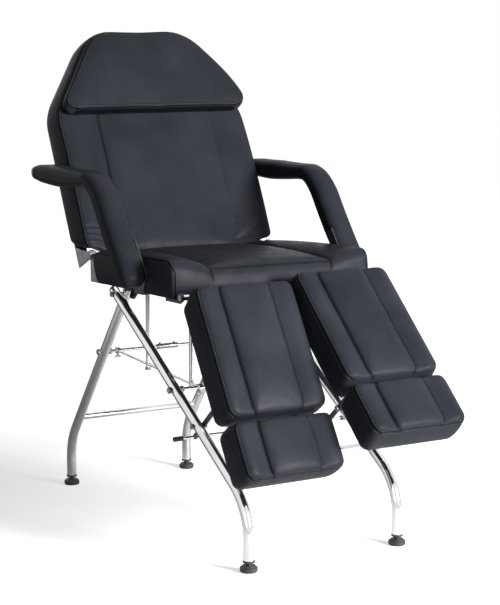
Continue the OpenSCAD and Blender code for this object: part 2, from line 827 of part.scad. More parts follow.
module seat_cushion() {
    color(black_leather) translate([0, seat_front_y, seat_z])
        padded_form(columns(seat_channel_share), rows(seat_l, seat_nose_r),
            function(a) seat_half(a), function(u, a) seat_top(u, a),
            boxed_levels(0, seat_rim), seat_board_t,
            lean1 = seat_rake / seat_h, level0 = seat_h - seat_fall);
}

module seat_board() {
    color(lining) translate([0, seat_front_y, seat_z]) linear_extrude(seat_board_t)
        board_outline(rows(seat_l, seat_nose_r), function(a) seat_half(a),
            seat_rim + board_fit, lean1 = seat_rake / seat_h, drop = seat_h - seat_fall);
}

// Backrest hinges

module seat_hinge_plates() {
    color(zinc) both_sides() difference() {
        union() {
            plate_x(hinge_x, plate_t) translate([pivot_y, pivot_z]) {
                polygon([[-hinge_neck - hinge_spread, -pivot_rise], [-hinge_neck, -hinge_head_r],
                    [hinge_neck, -hinge_head_r], [hinge_neck, -pivot_rise]]);
                circle(r = hinge_head_r);
            }
            translate([hinge_x + plate_t - hinge_foot_w, pivot_y + hinge_neck - hinge_foot_l,
                seat_z - plate_t])
                cube([hinge_foot_w, hinge_foot_l, plate_t]);
        }
        rod_x(hinge_bolt_d + 2 * run_fit, hinge_x - cut, hinge_x + plate_t + cut, pivot_y, pivot_z);
    }
}

module back_hinge_bolts() {
    x0 = hinge_x - touch - bolt_head_h;
    x1 = hinge_x + 2 * plate_t + 2 * touch;
    color(zinc) both_sides() {
        rod_x(2 * hinge_bolt_d, x0, x0 + bolt_head_h, pivot_y, pivot_z);
        rod_x(hinge_bolt_d, x0, x1 + bolt_head_h, pivot_y, pivot_z);
        rod_x(2 * hinge_bolt_d, x1, x1 + bolt_head_h, pivot_y, pivot_z);
    }
}

module on_back() {
    translate([0, pivot_y, pivot_z]) rotate([back_angle, 0, 0]) children();
}

// A plate in the backrest's frame from the pivot to the board, with a flange
// that lies on the board's rear face
module back_hinge(side) {
    x = hinge_x + plate_t + touch;
    flange_y = back_start - back_bottom / tan(back_angle) - back_hinge_drop;
    color(zinc) on_back() mirror([side == right ? 1 : 0, 0, 0]) difference() {
        union() {
            plate_x(x, plate_t) {
                circle(r = hinge_head_r);
                polygon([[hinge_head_r * sin(back_fan), -hinge_head_r * cos(back_fan) / 2],
                    [flange_y + back_hinge_drop, back_bottom - plate_t],
                    [flange_y - hinge_head_r, back_bottom - plate_t],
                    [-hinge_head_r * cos(back_fan), -hinge_head_r * sin(back_fan)]]);
            }
            translate([x + plate_t - hinge_flange_w, hinge_neck + hinge_gap, back_bottom - plate_t])
                cube([hinge_flange_w, hinge_flange_l, plate_t]);
        }
        rod_x(hinge_bolt_d + 2 * run_fit, x - cut, x + plate_t + cut, 0, 0);
    }
}

module back_hinge_left() {
    back_hinge(left);
}

module back_hinge_right() {
    back_hinge(right);
}

// Backrest

function back_half(a) = back_w / 2 - head_fall * max(a - back_shoulder, 0)
    - roll(a, back_corner_r) - roll(back_l - a, head_corner_r);

// Height of the side seams: bowed below the pillow, straight beneath it
function back_seam(a) = back_face + (a < back_flat
    ? back_bow * sin(180 * pow(a / back_l, bow_power))
    : back_bow * sin(180 * pow(back_flat / back_l, bow_power)) * (back_l - a) / (back_l - back_flat));

function back_fade(a) = max(0, 1 - pow(a / back_flat, 4));

function back_top(u, a) = back_seam(a) - roll(back_l - a, back_edge_r)
    + back_fade(a) * (pad_crown * (1 - pow(abs(u), 6))
        - channel_depth * channel(u, back_channel_share, channel_spread));

back_rows = concat([0, back_corner_r],
    [for (s = [0.1, 0.25, 0.42]) s * back_l], [back_flat, 0.5 * (back_flat + back_l)],
    [for (i = [len(edge_shares) - 1 : -1 : 0]) back_l - edge_shares[i] * head_corner_r]);

module back_cushion() {
    color(black_leather) on_back() translate([0, back_start, 0])
        padded_form(columns(back_channel_share), back_rows,
            function(a) back_half(a), function(u, a) back_top(u, a),
            boxed_levels(back_bottom, back_rim), back_board_t,
            lean0 = 1 / tan(back_angle), level0 = back_face);
}

module back_board() {
    color(lining) on_back() translate([0, back_start, back_bottom])
        linear_extrude(back_board_t)
            board_outline(back_rows, function(a) back_half(a), back_rim + board_fit,
                lean0 = 1 / tan(back_angle), drop = back_t);
}

// Head pillow, lying on the flat upper part of the backrest

function pillow_half(a) = pillow_w / 2 - (pillow_w - pillow_top_w) / 2 * a / pillow_l
    - roll(a, pillow_foot_r) - roll(pillow_l - a, pillow_corner_r);

function pillow_top(u, a) = pillow_t + (pillow_top_t - pillow_t) * a / pillow_l
    - roll(a, pillow_edge_r) / 2 + pillow_crown * (1 - pow(abs(u), 4)) * sin(180 * a / pillow_l);

module head_pillow() {
    slope = atan2(back_seam(back_flat) - back_face, back_l - back_flat);
    color(black_leather) on_back()
        translate([0, back_start + pillow_start, back_seam(pillow_start) + touch])
            rotate([-slope, 0, 0])
                padded_form(columns(back_channel_share), rows(pillow_l, pillow_corner_r),
                    function(a) pillow_half(a), function(u, a) pillow_top(u, a),
                    [[0, 0.5, 0], [side_draw, 0, 0]], lean0 = -pillow_lean);
}

// Armrests

// Slope of the middle line at share s, and the point that it has reached there
function arm_angle(s) = arm_slope * lookup(s, arm_angle_shares);
function arm_point(s) = s <= 0 ? [arm_start_y, arm_start_z]
    : arm_point(s - arm_step) + arm_run * arm_step
        * [cos(arm_angle(s - arm_step / 2)), sin(arm_angle(s - arm_step / 2))];

function arm_ring(s) = let (
    p = arm_point(s),
    a = arm_angle(s),
    half_t = arm_t / 2 * lookup(s, arm_thick_shares),
    half_w = arm_w / 2 * lookup(s, arm_width_shares))
    [for (k = [0 : arm_sides - 1]) let (
        t = 360 * k / arm_sides,
        across = half_w * sign(cos(t)) * pow(abs(cos(t)), 0.5),
        up = half_t * sign(sin(t)) * pow(abs(sin(t)), 0.5))
        [arm_x + arm_w / 2 + across, p[0] - up * sin(a), p[1] + up * cos(a)]];

module armrest_pad(side) {
    rings = [for (s = arm_stations) arm_ring(s)];
    n = len(rings);
    first = arm_point(arm_stations[0]);
    last = arm_point(arm_stations[n - 1]);
    mid_x = arm_x + arm_w / 2;
    color(black_leather) mirror([side == right ? 1 : 0, 0, 0]) polyhedron(
        points = concat([for (ring = rings) for (p = ring) p],
            [[mid_x, first[0], first[1]], [mid_x, last[0], last[1]]]),
        faces = concat(
            [for (i = [0 : n - 2]) for (k = [0 : arm_sides - 1]) for (h = [0, 1])
                let (a = i * arm_sides + k, b = i * arm_sides + (k + 1) % arm_sides)
                h == 0 ? [a, b, b + arm_sides] : [a, b + arm_sides, a + arm_sides]],
            [for (k = [0 : arm_sides - 1]) [n * arm_sides, (k + 1) % arm_sides, k]],
            [for (k = [0 : arm_sides - 1])
                [n * arm_sides + 1, (n - 1) * arm_sides + k,
                 (n - 1) * arm_sides + (k + 1) % arm_sides]]), convexity = 4);
}

module armrest_pad_left() {
    armrest_pad(left);
}

module armrest_pad_right() {
    armrest_pad(right);
}

// A strip on the pad's inner side that turns on the bracket's bolt
module armrest_plate(side) {
    color(black_paint) mirror([side == right ? 1 : 0, 0, 0]) difference() {
        plate_x(arm_x - plate_t, plate_t) translate([arm_pivot_y, arm_pivot_z]) rotate(arm_slope) {
            circle(d = arm_plate_w);
            translate([-arm_plate_tail, -arm_plate_w / 2])
                square([arm_plate_l + arm_plate_tail, arm_plate_w]);
        }
        rod_x(arm_bolt_d + 2 * run_fit, arm_x - plate_t - cut, arm_x + cut, arm_pivot_y, arm_pivot_z);
    }
}

module armrest_plate_left() {
    armrest_plate(left);
}

module armrest_plate_right() {
    armrest_plate(right);
}

// Brackets under the seat board that rise beside the seat to the armrests' pivots
module armrest_brackets() {
    color(black_paint) both_sides() difference() {
        union() {
            plate_x(arm_bracket_x, plate_t) {
                polygon([
                    [arm_pivot_y + arm_bracket_front, seat_z - plate_t],
                    [arm_pivot_y + arm_bracket_rear, seat_z - plate_t],
                    [arm_pivot_y + arm_bracket_rear, seat_z + plate_t],
                    [arm_pivot_y + arm_bracket_r * cos(arm_fan),
                        arm_pivot_z + arm_bracket_r * sin(arm_fan)],
                    [arm_pivot_y - arm_bracket_r * cos(arm_fan),
                        arm_pivot_z - arm_bracket_r * sin(arm_fan)]]);
                translate([arm_pivot_y, arm_pivot_z]) circle(r = arm_bracket_r);
            }
            translate([arm_bracket_x + plate_t - arm_bracket_foot_w,
                arm_pivot_y + arm_bracket_front, seat_z - plate_t])
                cube([arm_bracket_foot_w, arm_bracket_rear - arm_bracket_front, plate_t]);
        }
        rod_x(arm_bolt_d + 2 * run_fit, arm_bracket_x - cut, arm_bracket_x + plate_t + cut,
            arm_pivot_y, arm_pivot_z);
    }
}

module armrest_bolts() {
    x0 = arm_bracket_x - touch - arm_bolt_head_h;
    color(zinc) both_sides() {
        rod_x(arm_bolt_head_d, x0, x0 + arm_bolt_head_h, arm_pivot_y, arm_pivot_z);
        rod_x(arm_bolt_d, x0, arm_x - touch, arm_pivot_y, arm_pivot_z);
    }
}

// Leg rests

function leg_side_x(side) = side * leg_pad_x;

module on_leg(side) {
    pitch = side == right ? right_pitch : left_pitch;
    translate([leg_side_x(side), axle_y, axle_z]) rotate([pitch, 0, 0]) children();
}

function leg_half(a, l) = leg_pad_w / 2 - roll(a, leg_corner_r) - roll(l - a, leg_corner_r);

function leg_top(u, a, l) = leg_pad_top - roll(a, leg_edge_r) - roll(l - a, leg_edge_r)
    + leg_pad_crown * (1 - pow(abs(u), 6)) * (1 - pow(abs(2 * a / l - 1), 6))
    - channel_depth * channel(u, leg_channel_share, leg_channel_spread);

// A leg pad of length l that starts at distance s from the axle
module leg_pad(side, s, l) {
    color(black_leather) on_leg(side) translate([0, -s, 0]) rotate(180)
        padded_form(columns(leg_channel_share), rows(l, leg_corner_r),
            function(a) leg_half(a, l), function(u, a) leg_top(u, a, l),
            boxed_levels(-leg_pad_sink, leg_rim), leg_board_t);
}

module leg_board(side, s, l) {
    color(lining) on_leg(side) translate([0, -s, -leg_pad_sink]) rotate(180)
        linear_extrude(leg_board_t)
            board_outline(rows(l, leg_corner_r), function(a) leg_half(a, l), leg_rim + board_fit);
}

module calf_cushion_left() {
    leg_pad(left, leg_pad_start, calf_l);
}

module calf_cushion_right() {
    leg_pad(right, leg_pad_start, calf_l);
}

module calf_board_left() {
    leg_board(left, leg_pad_start, calf_l);
}

module calf_board_right() {
    leg_board(right, leg_pad_start, calf_l);
}

module heel_cushion_left() {
    leg_pad(left, heel_start, heel_l);
}

module heel_cushion_right() {
    leg_pad(right, heel_start, heel_l);
}

module heel_board_left() {
    leg_board(left, heel_start, heel_l);
}

module heel_board_right() {
    leg_board(right, heel_start, heel_l);
}

// Two arms that turn on the axle, each with a flange under the calf board and
// the tube in which one of the heel pad's rods slides
module leg_arms(side) {
    top = -leg_pad_sink;
    color(black_paint) on_leg(side) difference() {
        for (s = [-1, 1])
            union() {
                rod_x(2 * bush_r, s * leg_arm_x - bush_w / 2, s * leg_arm_x + bush_w / 2, 0, 0);
                translate([s * leg_arm_x - leg_arm_t / 2, -guide_end, top - leg_arm_h])
                    cube([leg_arm_t, guide_end, leg_arm_h]);
                translate([s * leg_arm_x - leg_strap_w / 2, -guide_end, top - leg_strap_t])
                    cube([leg_strap_w, guide_end - guide_start, leg_strap_t]);
                translate([s * guide_x, -guide_start, guide_n]) rotate([90, 0, 0])
                    cylinder(d = guide_d, h = guide_end - guide_start);
            }
        rod_x(axle_d + 2 * run_fit, -leg_pad_w, leg_pad_w, 0, 0);
        for (s = [-1, 1])
            translate([s * guide_x, -guide_start + cut, guide_n]) rotate([90, 0, 0])
                cylinder(d = heel_rod_d + 2 * run_fit, h = guide_end - guide_start + 2 * cut);
    }
}

module leg_arms_left() {
    leg_arms(left);
}

module leg_arms_right() {
    leg_arms(right);
}

// The heel pad's rods, welded to plates under its board
module heel_rods(side) {
    color(chrome) on_leg(side)
        for (s = [-1, 1]) {
            translate([s * guide_x, -heel_start - heel_rod_out, guide_n]) rotate([-90, 0, 0])
                cylinder(d = heel_rod_d, h = heel_rod_out + heel_rod_in);
            translate([s * guide_x - heel_plate_w / 2, -heel_start - heel_rod_out, guide_n])
                cube([heel_plate_w, heel_plate_l, -leg_pad_sink - guide_n]);
        }
}

module heel_rods_left() {
    heel_rods(left);
}

module heel_rods_right() {
    heel_rods(right);
}

module leg_axle() {
    color(chrome) rod_x(axle_d, -axle_half, axle_half, axle_y, axle_z);
}

// Lugs under the seat's front that hold the axle's ends and middle
module axle_lugs() {
    color(black_paint)
        for (x = [-seat_w / 2, -lug_w / 2, seat_w / 2 - lug_w]) {
            difference() {
                plate_x(x, lug_w) {
                    translate([axle_y, axle_z]) circle(r = lug_r);
                    translate([axle_y, seat_z - lug_foot_t]) square([lug_foot_l, lug_foot_t]);
                }
                rod_x(axle_d + 2 * run_fit, x - cut, x + lug_w + cut, axle_y, axle_z);
            }
            translate([x > 0 ? x + lug_w - lug_flange_w : x, axle_y + lug_foot_l / 2,
                seat_z - plate_t])
                cube([lug_flange_w, lug_foot_l / 2, plate_t]);
        }
}

// Stop frame

module stop_stays() {
    angle = atan2(stop_end_z - foot_bar_z, stop_end_y - foot_bar_y);
    length = sqrt(pow(stop_end_z - foot_bar_z, 2) + pow(stop_end_y - foot_bar_y, 2));
    color(black_paint) both_sides() difference() {
        union() {
            plate_x(stop_x - stop_stay_t / 2, stop_stay_t)
                translate([foot_bar_y, foot_bar_z]) rotate(angle) {
                    circle(d = stop_bar_w);
                    translate([0, -stop_bar_w / 2]) square([length + stop_tab_t / 2, stop_bar_w]);
                }
            translate([stop_x - stop_tab_w / 2, axle_y, axle_z]) rotate([right_pitch, 0, 0])
                translate([0, -stop_s - stop_tab_l / 2, stop_n])
                    cube([stop_tab_w, stop_tab_l, stop_tab_t]);
        }
        rod_x(bolt_d + 2 * run_fit, stop_x - stop_stay_t, stop_x + stop_stay_t,
            stop_bolt_y, stop_bolt_z);
        rod_x(foot_bar_d + 2 * run_fit, stop_x - stop_stay_t, stop_x + stop_stay_t,
            foot_bar_y, foot_bar_z);
    }
}

module stop_bolts() {
    x0 = stop_x - stop_stay_t / 2 - touch - bolt_head_h;
    x1 = front_leg_x + leg_d / 2 + touch;
    color(zinc) both_sides() {
        rod_x(bolt_head_d, x0, x0 + bolt_head_h, stop_bolt_y, stop_bolt_z);
        rod_x(bolt_d, x0, x1 + bolt_head_h, stop_bolt_y, stop_bolt_z);
        rod_x(bolt_head_d, x1, x1 + bolt_head_h, stop_bolt_y, stop_bolt_z);
    }
}

module foot_bar() {
    half = foot_bar_half - foot_bar_cap_end;
    color(chrome) rod_x(foot_bar_d, -half, half, foot_bar_y, foot_bar_z);
}

module foot_bar_caps() {
    color(black_plastic) both_sides() difference() {
        rod_x(foot_bar_cap_d, foot_bar_half - foot_bar_cap_l, foot_bar_half, foot_bar_y, foot_bar_z);
        rod_x(foot_bar_d + 2 * run_fit, foot_bar_half - foot_bar_cap_l - cut,
            foot_bar_half - foot_bar_cap_end, foot_bar_y, foot_bar_z);
    }
}

// Every piece by its name

front_leg_left();
front_leg_right();
rear_leg_left();
rear_leg_right();
front_cross_tube();
rear_cross_tube();
front_stretcher();
rear_stretcher();
stretcher_sleeve();
stretcher_nuts();
stay_rods();
stay_screws();
seat_posts();
post_nuts();
leg_brackets();
leg_bolts();
leg_caps();
leg_collars();
foot_front_left();
foot_front_right();
foot_rear_left();
foot_rear_right();
seat_board();
seat_cushion();
seat_hinge_plates();
back_hinge_bolts();
leg_axle();
axle_lugs();
stop_stays();
stop_bolts();
foot_bar();
foot_bar_caps();
armrest_brackets();
armrest_bolts();
back_board();
back_cushion();
head_pillow();
back_hinge_left();
back_hinge_right();
armrest_pad_left();
armrest_pad_right();
armrest_plate_left();
armrest_plate_right();
calf_cushion_left();
calf_cushion_right();
calf_board_left();
calf_board_right();
leg_arms_left();
leg_arms_right();
heel_cushion_left();
heel_cushion_right();
heel_board_left();
heel_board_right();
heel_rods_left();
heel_rods_right();
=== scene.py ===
# %% [markdown]
# # A pedicure chair
# This chair is a padded seat on a crossed frame of chrome tube. Its back reclines,
# its two leg rests lift one by one, and a pad for each heel slides out of its leg
# rest. The frame comes from the CAD model as it is. What this lesson makes is the
# upholstery, because soft forms are what the CAD model leaves plain, and the
# finishes: black leather, chrome, zinc plate, paint, plastic and lining cloth.

# %% Load the frame
import bpy
import json
import math
import numpy as np
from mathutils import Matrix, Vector
from mathutils.bvhtree import BVHTree


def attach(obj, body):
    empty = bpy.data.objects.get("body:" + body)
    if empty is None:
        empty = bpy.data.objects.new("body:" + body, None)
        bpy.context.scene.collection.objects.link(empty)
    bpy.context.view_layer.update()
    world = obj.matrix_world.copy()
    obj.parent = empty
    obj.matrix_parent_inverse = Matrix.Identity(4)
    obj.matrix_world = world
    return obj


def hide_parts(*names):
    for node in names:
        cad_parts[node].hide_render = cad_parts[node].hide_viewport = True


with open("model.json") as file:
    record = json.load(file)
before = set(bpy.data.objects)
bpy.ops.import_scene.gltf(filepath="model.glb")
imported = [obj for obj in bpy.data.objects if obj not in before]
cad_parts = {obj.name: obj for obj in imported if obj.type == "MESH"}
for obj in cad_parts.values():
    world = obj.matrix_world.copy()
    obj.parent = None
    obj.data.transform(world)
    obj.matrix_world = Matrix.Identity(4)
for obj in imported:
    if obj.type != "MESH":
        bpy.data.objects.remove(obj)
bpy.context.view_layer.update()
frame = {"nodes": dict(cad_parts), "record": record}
nodes = frame["nodes"]

# %% [markdown]
# ## The camera
# A product photograph is taken with a long lens from a few metres away. The place
# of this one was worked out from the chair's own points: the feet, the legs, the
# seat and the leg rests. The chair stands a little to one side and below the lens.
# Distances are in metres. They were first measured from the middle of the base, so
# MIDDLE_Y moves the camera to this frame, whose origin is the whole chair's middle.

# %% Camera
MIDDLE_Y = 0.08222
CAMERA_PLACE = (-2.3675, -3.9302 + MIDDLE_Y, 1.2123)
AZIMUTH, ELEVATION, ROLL = math.radians(-32.17), math.radians(7.61), math.radians(-0.02)
FOCAL_PX, IMAGE_H = 1666.6, 605
SENSOR_MM, FAR_CLIP = 36.0, 50.0

camera_data = bpy.data.cameras.new("photo_camera")
camera = bpy.data.objects.new("photo_camera", camera_data)
bpy.context.scene.collection.objects.link(camera)
camera_data.sensor_width = SENSOR_MM
camera_data.lens = FOCAL_PX / IMAGE_H * SENSOR_MM
camera_data.clip_end = FAR_CLIP
camera.location = CAMERA_PLACE
camera.rotation_euler = (math.pi / 2 - ELEVATION, ROLL, AZIMUTH)
bpy.context.scene.camera = camera
print("lens", round(camera_data.lens, 2), "mm")

# %% [markdown]
# ## Light and floor
# Black leather swallows most light, so its forms show by how they turn from the
# key: a large soft lamp stands in front, to the right and a little above the back,
# a weak one fills the left, one lies overhead, and the surround is dim. The
# background is white because the camera and the metal see it white, not because
# more light falls on the chair.

# %% World, lamps and floor
SURROUND_COLOUR, SURROUND_STRENGTH = (0.93, 0.96, 1.0, 1.0), 0.08
WHITE = (1.0, 1.0, 1.0, 1.0)
FLOOR_HALF = 9

scene = bpy.context.scene
scene.view_settings.view_transform = "Standard"

world = bpy.data.worlds.new("pale_studio")
scene.world = world
world.use_nodes = True
wn, wl = world.node_tree.nodes, world.node_tree.links
wn.clear()
world_out = wn.new("ShaderNodeOutputWorld")
surround = wn.new("ShaderNodeBackground")
surround.inputs["Color"].default_value = SURROUND_COLOUR
surround.inputs["Strength"].default_value = SURROUND_STRENGTH
backdrop = wn.new("ShaderNodeBackground")
backdrop.inputs["Color"].default_value = WHITE
backdrop.inputs["Strength"].default_value = 1.0
seen = wn.new("ShaderNodeLightPath")
pick = wn.new("ShaderNodeMixShader")
seen_by = seen.outputs["Is Camera Ray"]
for kind in ("Is Glossy Ray", "Is Transmission Ray"):
    either = wn.new("ShaderNodeMath")
    either.operation = "MAXIMUM"
    wl.new(seen_by, either.inputs[0])
    wl.new(seen.outputs[kind], either.inputs[1])
    seen_by = either.outputs[0]
wl.new(seen_by, pick.inputs[0])
wl.new(surround.outputs[0], pick.inputs[1])
wl.new(backdrop.outputs[0], pick.inputs[2])
wl.new(pick.outputs[0], world_out.inputs["Surface"])


def lamp(name, place, aim, size, watts):
    """A square soft lamp of side size at place, turned towards aim."""
    data = bpy.data.lights.new(name, "AREA")
    data.shape = "SQUARE"
    data.size = size
    data.energy = watts
    obj = bpy.data.objects.new(name, data)
    obj.location = place
    towards = np.array(aim, float) - np.array(place, float)
    flat = math.hypot(towards[0], towards[1])
    obj.rotation_euler = (math.atan2(flat, -towards[2]), 0.0, math.atan2(-towards[0], towards[1]))
    scene.collection.objects.link(obj)


lamp("key_lamp", (1.3, -3.6, 1.45), (0.0, 0.0, 0.7), 1.2, 455.0)
lamp("left_lamp", (-3.2, -2.4, 1.2), (0.0, 0.0, 0.6), 1.6, 9.0)
lamp("top_lamp", (0.2, 0.2, 3.6), (0.0, 0.1, 0.6), 2.2, 8.0)

floor_mesh = bpy.data.meshes.new("floor")
floor_corners = [(x * FLOOR_HALF, y * FLOOR_HALF, 0)
                 for x, y in ((-1, -1), (1, -1), (1, 1), (-1, 1))]
floor_mesh.from_pydata(floor_corners, [], [(0, 1, 2, 3)])
floor = bpy.data.objects.new("floor", floor_mesh)
scene.collection.objects.link(floor)
print("lamps and floor are in")

# %% [markdown]
# ## Finishes
# Every finish is one Principled shader with procedural colour, roughness and bump.
# The patterns read Object coordinates, in metres, so a pattern's scale is in
# repeats per metre: leather pebbles a millimetre wide need a scale near 900.

# %% A helper for procedural finishes
class Finish:
    """A material under construction: its shader, and short calls for the nodes round it."""

    def __init__(self, name):
        self.material = bpy.data.materials.new(name)
        self.material.use_nodes = True
        self.nodes = self.material.node_tree.nodes
        self.links = self.material.node_tree.links
        self.shader = self.nodes["Principled BSDF"]
        self.place = self.nodes.new("ShaderNodeTexCoord").outputs["Object"]

    def noise(self, scale, detail=3.0, roughness=0.5, stretch=None):
        """A cloudy value with so many clouds a metre, finer with more detail."""
        node = self.nodes.new("ShaderNodeTexNoise")
        node.inputs["Scale"].default_value = scale
        node.inputs["Detail"].default_value = detail
        node.inputs["Roughness"].default_value = roughness
        self.links.new(self.stretched(stretch), node.inputs["Vector"])
        return node.outputs["Fac"]

    def cells(self, scale, blend):
        """The distance from the nearest of so many cell centres a metre, with rounded borders."""
        node = self.nodes.new("ShaderNodeTexVoronoi")
        node.feature = "SMOOTH_F1"
        node.inputs["Smoothness"].default_value = blend
        node.inputs["Scale"].default_value = scale
        self.links.new(self.place, node.inputs["Vector"])
        return node.outputs["Distance"]

    def stretched(self, stretch):
        """The piece's own coordinates, or those coordinates times a scale for each axis."""
        if stretch is None:
            return self.place
        node = self.nodes.new("ShaderNodeMapping")
        node.inputs["Scale"].default_value = stretch
        self.links.new(self.place, node.inputs["Vector"])
        return node.outputs["Vector"]

    def ramp(self, value, stops):
        """Colours along a value: stops is a list of (position, colour or grey)."""
        node = self.nodes.new("ShaderNodeValToRGB")
        ramp = node.color_ramp
        while len(ramp.elements) < len(stops):
            ramp.elements.new(0.5)
        for element, (at, colour) in zip(ramp.elements, stops):
            element.position = at
            grey = not hasattr(colour, "__len__")
            element.color = (colour, colour, colour, 1.0) if grey else (*colour, 1.0)
        self.links.new(value, node.inputs["Fac"])
        return node.outputs["Color"]

    def attribute(self, name):
        """A number that each point of the piece carries under this name."""
        node = self.nodes.new("ShaderNodeAttribute")
        node.attribute_name = name
        return node.outputs["Fac"]

    def darken(self, colour, by):
        """A colour multiplied by a grey. A Mix node takes its two colours in sockets 6 and 7 and
        gives the mixed colour from output 2."""
        node = self.nodes.new("ShaderNodeMix")
        node.data_type = "RGBA"
        node.blend_type = "MULTIPLY"
        factor, colour_a, colour_b = (node.inputs[k] for k in (0, 6, 7))
        factor.default_value = 1.0
        self.links.new(colour, colour_a)
        self.links.new(by, colour_b)
        return node.outputs[2]

    def maths(self, kind, a, b):
        """One sum, product or the like of two values, each a number or a node's output."""
        node = self.nodes.new("ShaderNodeMath")
        node.operation = kind
        for socket, value in zip(node.inputs, (a, b)):
            if isinstance(value, (int, float)):
                socket.default_value = value
            else:
                self.links.new(value, socket)
        return node.outputs[0]

    def bump(self, height, depth, strength=1.0, over=None):
        """Relief of so many metres where height goes from 0 to 1."""
        node = self.nodes.new("ShaderNodeBump")
        node.inputs["Strength"].default_value = strength
        node.inputs["Distance"].default_value = depth
        self.links.new(height, node.inputs["Height"])
        if over is not None:
            self.links.new(over, node.inputs["Normal"])
        return node.outputs["Normal"]

    def use(self, **sockets):
        """Wires or sets the shader's sockets: base_color becomes Base Color."""
        for key, value in sockets.items():
            title = key.replace("_", " ").title().replace("Ior", "IOR")
            socket = self.shader.inputs[title]
            if isinstance(value, (int, float, tuple)):
                socket.default_value = value
            else:
                self.links.new(value, socket)


# %% [markdown]
# Upholstery leather of this kind is a coated cloth, rolled with a fine pebble. It
# is nearly black, so its look is all in the gloss: pebbles break it up, and wider,
# slow changes of roughness keep large panels from looking like plastic sheet. Each
# point of a cushion also carries its distance from the nearest seam and from the
# nearest shade line, in metres. The finish sinks the leather on the seam and under
# each row of thread, and darkens it there with painted shade. It also darkens the
# leather along each shade line, a sewn channel, the seat's nose fold or the pillow's
# downward band, with painted shade. A ramp runs from 0 to 1, so the distances are
# first scaled until 1 stands for 12.5 mm.

# %% Black leather
RAMPS_PER_METRE = 80.0
SEAM_RELIEF = [(0.02, 0.0), (0.15, 1.0), (0.46, 1.0), (0.54, 0.25), (0.62, 1.0)]
# The next two ramps paint shade: on the seam valley and under the thread rows, and along the shade
# lines.
SEAM_PAINTED_SHADE = [(0.05, 0.14), (0.17, 1.0), (0.44, 1.0), (0.54, 0.22), (0.64, 1.0)]
LINE_PAINTED_SHADE = [(0.0, 0.22), (0.14, 0.55), (0.6, 1.0)]

leather = Finish("black_leather")
pebbles = leather.cells(820.0, 0.5)
creases = leather.noise(95.0, 5.0, 0.6)
patches = leather.noise(7.0, 3.0, 0.5)
tone = leather.ramp(patches, [(0.3, (0.0120, 0.0130, 0.0168)), (0.72, (0.0192, 0.0207, 0.0264))])
gloss = leather.ramp(leather.noise(24.0, 4.0, 0.55), [(0.3, 0.33), (0.7, 0.47)])
seam_gap = leather.maths("MULTIPLY", leather.attribute("seam_distance"), RAMPS_PER_METRE)
shade_line_gap = leather.maths("MULTIPLY", leather.attribute("shade_line_distance"), RAMPS_PER_METRE)
seam_relief = leather.ramp(seam_gap, SEAM_RELIEF)
# Painted shade: darker in the seam valley, under the thread rows and along the shade lines.
shade = leather.darken(leather.ramp(seam_gap, SEAM_PAINTED_SHADE), leather.ramp(shade_line_gap, LINE_PAINTED_SHADE))
grain = leather.bump(pebbles, 0.00022, 0.55)
grain = leather.bump(creases, 0.0007, 0.35, over=grain)
grain = leather.bump(seam_relief, 0.0016, 1.0, over=grain)
leather.use(base_color=leather.darken(tone, shade), roughness=gloss, normal=grain, ior=1.45,
            specular_ior_level=0.04)

# %% [markdown]
# The thread is the same black. Its twist is a small bump, and lighter flecks of
# colour along it are a painted highlight.

# %% Thread
thread = Finish("black_thread")
twist_and_glint = thread.noise(2600.0, 2.0)
# Painted highlight: the twist pattern lightens the thread's colour.
tone = thread.ramp(twist_and_glint, [(0.3, (0.010, 0.011, 0.014)), (0.7, (0.026, 0.028, 0.036))])
thread.use(base_color=tone, roughness=0.62, normal=thread.bump(twist_and_glint, 0.00015, 0.6))

# %% [markdown]
# Chrome mirrors its surroundings almost whole. What tells the eye that it is a
# handled object is a faint haze of wiping marks, so its roughness varies, and its
# brightness a little.

# %% Chrome
chrome = Finish("chrome")
haze = chrome.noise(38.0, 4.0, 0.6)
wiped = chrome.noise(9.0, 2.0, 0.5, stretch=(1.0, 1.0, 0.25))
chrome.use(base_color=chrome.ramp(wiped, [(0.3, (0.70, 0.71, 0.73)), (0.7, (0.80, 0.81, 0.82))]),
           metallic=1.0, roughness=chrome.ramp(haze, [(0.35, 0.05), (0.75, 0.13)]))

# %% [markdown]
# The hinges and the fasteners are zinc plated: a soft metal grey, with the small
# spangle of the plating and rubbed spots.

# %% Zinc plate
zinc = Finish("zinc_plate")
spangle = zinc.cells(260.0, 0.1)
rubbed = zinc.noise(60.0, 5.0, 0.6)
zinc.use(base_color=zinc.ramp(rubbed, [(0.3, (0.20, 0.205, 0.215)), (0.7, (0.36, 0.365, 0.375))]),
         metallic=1.0, roughness=zinc.ramp(spangle, [(0.1, 0.26), (0.7, 0.40)]),
         normal=zinc.bump(rubbed, 0.0002, 0.3))

# %% [markdown]
# The brackets that nobody looks at have a black powder coat, which is smooth but
# for a slight orange peel.

# %% Black paint
paint = Finish("black_paint")
peel = paint.noise(420.0, 2.0, 0.4)
scuffs = paint.noise(30.0, 6.0, 0.7)
tone = paint.ramp(scuffs, [(0.45, (0.012, 0.012, 0.013)), (0.8, (0.035, 0.035, 0.037))])
paint.use(base_color=tone, roughness=paint.ramp(scuffs, [(0.4, 0.34), (0.8, 0.55)]),
          normal=paint.bump(peel, 0.0002, 0.35))

# %% [markdown]
# Feet, caps and grips are moulded plastic. The mould's fine spark-eroded texture
# gives it a broad, dull highlight.

# %% Black plastic
plastic = Finish("black_plastic")
erosion = plastic.noise(1500.0, 2.0, 0.5)
dust = plastic.noise(18.0, 4.0, 0.6)
plastic.use(base_color=plastic.ramp(dust, [(0.35, 0.010), (0.75, 0.022)]),
            roughness=plastic.ramp(dust, [(0.3, 0.42), (0.7, 0.58)]),
            normal=plastic.bump(erosion, 0.00012, 0.5))

# %% [markdown]
# The boards under the cushions are covered with a thin black lining, a woven cloth
# whose threads cross square to each other.

